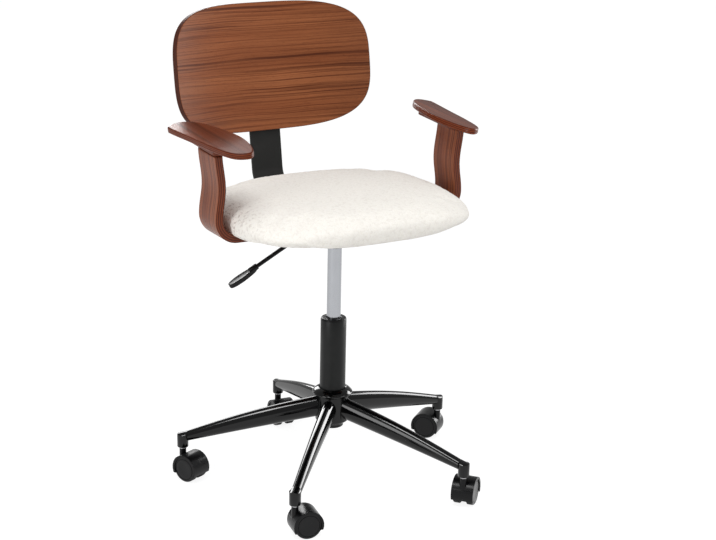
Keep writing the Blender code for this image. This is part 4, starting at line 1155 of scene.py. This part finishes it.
armWoods = {
    "support": makeWood("lacqueredPlySupport", woodLooks["lacquered"], arm["thickness"], 0.16),
    "plate": makeWood("lacqueredPlyPlate", woodLooks["lacquered"], arm["plateThickness"], 0.16),
    # the pads take the darker copy of the lacquer, as painted shade
    "pad": makeWood("lacqueredPlyPadShaded", woodLooks["lacqueredPad"], arm["padThickness"], 0.06),
}
makeArm(-1, "right", armWoods)
makeArm(1, "left", armWoods)
print("arms ready")


# Cushion: the CAD cushion shrunk a little, blown up as cloth round its board, then covered in loops

cushion = {
    "shrink": 4.8 * mm, "shrinkFrom": 22 * mm, "shrinkOver": 20 * mm, "voxel": 5 * mm, "lastFrame": 20,
    "swell": 5 * mm, "rimDrop": 7 * mm, "rimFrom": 1 * mm, "rimOver": 10 * mm, "rimTop": 26 * mm,
    "rimFade": 20 * mm, "heldFloor": 1.5 * mm, "heldDepth": 14 * mm, "heldMargin": 2 * mm,
    "nubSize": 6.5 * mm, "nubHeight": 0.9 * mm, "nubSharpness": 1.25, "nubSunk": 0.45,
}
clothSettings = {
    "quality": 5, "mass": 0.3, "tension_stiffness": 15, "compression_stiffness": 15, "shear_stiffness": 5,
    "bending_stiffness": 2.0, "use_pressure": True, "uniform_pressure_force": 4.0,
    "vertex_group_mass": "held",
}


def blowUp(piece, held):
    group = piece.vertex_groups.new(name="held")
    group.add([vertex.index for vertex in piece.data.vertices if held(vertex.co)], 1.0, "REPLACE")
    start = [vertex.co.copy() for vertex in piece.data.vertices]
    cloth = piece.modifiers.new("cloth", "CLOTH")
    for key, value in clothSettings.items():
        setattr(cloth.settings, key, value)
    cloth.settings.effector_weights.gravity = 0
    cloth.collision_settings.use_collision = False
    cloth.point_cache.frame_start = 1
    cloth.point_cache.frame_end = cushion["lastFrame"]
    for number in range(1, cushion["lastFrame"] + 1):
        bpy.context.scene.frame_set(number)
    swollen = piece.evaluated_get(bpy.context.evaluated_depsgraph_get()).data
    ends = [vertex.co.copy() for vertex in swollen.vertices]
    activate(piece)
    bpy.ops.object.modifier_remove(modifier="cloth")
    for vertex, first, last in zip(piece.data.vertices, start, ends):
        move = last - first
        if move.length > cushion["swell"]:
            move *= cushion["swell"] / move.length
        vertex.co = first + move
    bpy.context.scene.frame_set(1)
    addModifier(piece, "rested", "SMOOTH", factor=0.5, iterations=12)
    applyModifiers(piece)
    print("cushion blown up")


def makeCushion():
    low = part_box("seat_cushion")[0]
    boardLow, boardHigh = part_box("seat_board")
    boardMiddle = (boardLow + boardHigh) / 2
    boardHalf = (boardHigh - boardLow) / 2
    mesh = frame["nodes"]["seat_cushion"].data.copy()
    piece = bpy.data.objects.new("cushion", mesh)
    bpy.context.scene.collection.objects.link(piece)
    activate(piece)
    setMode("EDIT")
    selectAll()
    bpy.ops.mesh.remove_doubles(threshold=0.00005)
    setMode("OBJECT")

    def outside(point):
        # how far outside the board's sides a point lies
        away = point - boardMiddle
        return max(abs(away.x) - boardHalf.x, abs(away.y) - boardHalf.y)

    def held(point):
        # the underside and the pocket stay where the board holds them
        inBoard = outside(point) < cushion["heldMargin"] and point.z < low.z + cushion["heldDepth"]
        return point.z < low.z + cushion["heldFloor"] or inBoard

    addModifier(piece, "remesh", "REMESH", mode="VOXEL", voxel_size=cushion["voxel"])
    applyModifiers(piece)
    addModifier(piece, "smooth", "SMOOTH", factor=0.5, iterations=8)
    applyModifiers(piece)
    for vertex in piece.data.vertices:
        if not held(vertex.co):
            up = limited((vertex.co.z - low.z - cushion["shrinkFrom"]) / cushion["shrinkOver"])
            vertex.co -= vertex.normal * cushion["shrink"] * up
    blowUp(piece, held)
    # the rolled rim outside the board hangs a little lower than the underside
    for vertex in piece.data.vertices:
        spot = vertex.co
        share = limited((outside(spot) - cushion["rimFrom"]) / cushion["rimOver"])
        share *= limited((low.z + cushion["rimTop"] - spot.z) / cushion["rimFade"])
        spot.z -= cushion["rimDrop"] * share
    addModifier(piece, "finer", "SUBSURF", levels=1, render_levels=1)
    applyModifiers(piece)

    # short loops of yarn stand up from the cloth
    nub = piece.data.attributes.new("nub", "FLOAT", "POINT")
    spots = [vertex.co.copy() for vertex in piece.data.vertices]
    normals = [vertex.normal.copy() for vertex in piece.data.vertices]
    for vertex, value, spot, normal in zip(piece.data.vertices, nub.data, spots, normals):
        distances, nearest = noise.voronoi(spot / cushion["nubSize"])
        loop = max(0.0, 1.0 - distances[0] * cushion["nubSharpness"])
        value.value = loop
        if not held(spot):
            vertex.co = spot + normal * cushion["nubHeight"] * (loop - cushion["nubSunk"])
    bpy.ops.object.shade_smooth()
    fit(piece, boucle, "seat", "boucle", "seat_cushion")
    print("cushion ready:", len(piece.data.polygons), "faces")


makeCushion()


# Carried-over nodes and small fasteners

def dressNodes():
    looks = {
        "lift_plate": coats["satinBlack"], "seat_board": barePly, "dust_cover": dustCloth,
        "cylinder_gland": coats["leverBlack"],
    }
    axles = [f"caster_axle_{number}" for number in range(1, casterCount + 1)]
    for node in ["piston_rod", "rod_clip", "thrust_bearing", "valve_pin"] + axles:
        looks[node] = metals["steel"]
    for node, material in looks.items():
        frame["nodes"][node].data.materials.clear()
        frame["nodes"][node].data.materials.append(material)


screw = {
    "headRadius": 5.5 * mm, "headHeight": 2.6 * mm, "socketRadius": 2.3 * mm, "socketDepth": 1.6 * mm,
    "shank": 3 * mm, "backAcross": 20 * mm, "backRise": (24 * mm, 118 * mm), "backSunk": 0.4 * mm,
    "plateAcross": 62 * mm, "plateAlong": 79 * mm, "flange": 3 * mm, "armAcross": (108, 168),
    "armAlong": 18 * mm, "barAcross": 18 * mm, "barAlong": (122, 158),
}


def screwForm():
    radius, height = screw["headRadius"], screw["headHeight"]
    socket, floor = screw["socketRadius"], height - screw["socketDepth"]
    profile = [(screw["shank"], -2 * mm), (screw["shank"], 0), (radius, 0), (radius, 0.5 * mm)]
    profile += roundCorner((radius - 2.1 * mm, 0.5 * mm), 2.1 * mm, 15, 88, 5)
    profile += near(socket, height, (0.3, 0), (0, -0.3)) + [(socket, floor), (0.4 * mm, floor)]
    return turnPiece("screwForm", profile, segments=24)


def makeScrews():
    master = screwForm()
    spots = []
    lean = math.radians(bar["lean"])
    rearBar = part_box("back_bar")[1]
    backwards = Euler((-math.pi / 2 - lean, 0, 0))
    for across in (-1, 1):
        for rise in screw["backRise"]:
            height = panel["bottomZ"] + rise
            level = rearBar.y - (rearBar.z - height) * math.tan(lean) - screw["backSunk"]
            place = Vector((columnAxis.x + across * screw["backAcross"], level, height))
            spots.append((place, backwards, f"backScrew{len(spots) + 1}"))
    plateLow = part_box("lift_plate")[1].z - screw["flange"]
    down = Euler((math.pi, 0, 0))
    for acrossX in (-1, 1):
        for acrossY in (-1, 1):
            place = Vector((acrossX * screw["plateAcross"], acrossY * screw["plateAlong"], plateLow))
            place += columnAxis
            spots.append((place, down, f"plateScrew{len(spots) - 3}"))
    for side, word in ((-1, "right"), (1, "left")):
        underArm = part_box(f"arm_support_{word}")[0].z
        for inwards in screw["armAcross"]:
            for back, end in ((-1, "Front"), (1, "Rear")):
                along = arm["centreY"] + back * screw["armAlong"]
                place = columnAxis + Vector((side * inwards * mm, along, underArm))
                spots.append((place, down, f"armScrew{word.title()}{inwards}{end}"))
    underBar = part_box("back_bar")[0].z
    for across, word in ((-1, "Right"), (1, "Left")):
        for back in screw["barAlong"]:
            place = columnAxis + Vector((across * screw["barAcross"], back * mm, underBar))
            spots.append((place, down, f"barScrew{word}{back}"))
    for place, turn, name in spots:
        piece = copyPiece(master, name)
        piece.location = place
        piece.rotation_euler = turn
        settle(piece)
        fit(piece, metals["steel"], "seat", "steel")
    bpy.data.objects.remove(master)
    print("fasteners ready:", len(spots))


dressNodes()
makeScrews()


# Studio

studio = {
    "floorSize": 60.0, "floorColor": (0.82, 0.82, 0.82, 1.0), "floorGlow": 0.87,
    "floorSeen": (0.30, 0.30, 0.30, 1.0), "worldColor": (1.0, 1.0, 1.0, 1.0), "worldStrength": 0.46,
}
lamps = {
    "key": {"place": (2.0, -2.5, 1.9), "target": (0, 0, 0.6), "along": (0, 0, 1), "size": (1.5, 1.5),
            "power": 27},
    "fill": {"place": (-2.9, -0.8, 0.95), "target": (0, 0, 0.5), "along": (0, 0, 1), "size": (1.0, 1.4),
             "power": 30},
    "top": {"place": (-0.4, -0.6, 2.6), "target": (0, 0, 0.5), "along": (1, 0, 0), "size": (1.6, 1.6),
            "power": 23, "softOnly": True},
    "leftTop": {"place": (-1.14, -0.8, 1.9), "target": (0.08, -0.18, 0.13), "along": (0, 1, 0),
                "size": (0.36, 0.62), "power": 15, "glossOnly": True},
    "rear": {"place": (0.23, 2.36, 1.27), "target": (-0.1, -0.15, 0.15), "along": (-0.57, 0.52, -0.64),
             "size": (0.9, 1.5), "power": 46, "glossOnly": True},
    "right": {"place": (2.15, 0.12, 0.8), "target": (0, 0, 0.3), "along": (0, 0, 1), "size": (0.8, 1.3),
              "power": 48, "glossOnly": True},
}
view = {
    "place": Vector((-1.53961, -2.74183, 1.41149)) + columnAxis,
    "forward": Vector((0.47944, 0.82541, -0.29804)), "up": Vector((0.13088, 0.26856, 0.95433)),
    "focalPixels": 1693.29, "frameWidth": 716, "sensor": 36.0,
}


def aim(obj, back, up):
    # turn a lamp or camera so that it looks away from back
    side = up.cross(back).normalized()
    obj.rotation_euler = Matrix((side, back.cross(side), back)).transposed().to_euler()


def makeStudio():
    deselectAll()
    bpy.ops.mesh.primitive_plane_add(size=studio["floorSize"], location=(0, 0, -0.2 * mm))
    floor = named("floor")
    material = bpy.data.materials.new("studioFloor")
    material.use_nodes = True
    tree = material.node_tree
    tree.nodes.clear()
    path = addNode(tree, "ShaderNodeLightPath").outputs
    seen = addMath(tree, "MAXIMUM", path["Is Camera Ray"], path["Is Glossy Ray"])
    seen = addMath(tree, "MAXIMUM", seen, path["Is Transmission Ray"])
    paint = addNode(tree, "ShaderNodeBsdfDiffuse", {"Color": studio["floorColor"]})
    seenPaint = addNode(tree, "ShaderNodeBsdfDiffuse", {"Color": studio["floorSeen"]})
    glow = addNode(tree, "ShaderNodeEmission", {"Color": (1, 1, 1, 1), "Strength": studio["floorGlow"]})
    both = addNode(tree, "ShaderNodeAddShader", {0: seenPaint.outputs[0], 1: glow.outputs[0]})
    mixed = addNode(tree, "ShaderNodeMixShader", {0: seen, 1: paint.outputs[0], 2: both.outputs[0]})
    addNode(tree, "ShaderNodeOutputMaterial", {"Surface": mixed.outputs[0]})
    floor.data.materials.append(material)

    world = bpy.data.worlds.new("studio")
    bpy.context.scene.world = world
    world.use_nodes = True
    background = world.node_tree.nodes["Background"]
    background.inputs["Color"].default_value = studio["worldColor"]
    background.inputs["Strength"].default_value = studio["worldStrength"]

    for name, values in lamps.items():
        bpy.ops.object.light_add(type="AREA", location=values["place"])
        lamp = named(name)
        lamp.data.shape = "RECTANGLE"
        lamp.data.size, lamp.data.size_y = values["size"]
        lamp.data.energy = values["power"]
        lamp.visible_diffuse = not values.get("glossOnly", False)
        lamp.visible_glossy = not values.get("softOnly", False)
        back = Vector(values["place"]) - Vector(values["target"])
        aim(lamp, back.normalized(), Vector(values["along"]))

    bpy.ops.object.camera_add(location=view["place"])
    camera = named("camera")
    camera.data.sensor_width = view["sensor"]
    camera.data.lens = view["focalPixels"] / view["frameWidth"] * view["sensor"]
    aim(camera, -view["forward"].normalized(), view["up"])
    bpy.context.scene.camera = camera
    bpy.context.scene.view_settings.view_transform = "Standard"
    print("studio ready")


makeStudio()
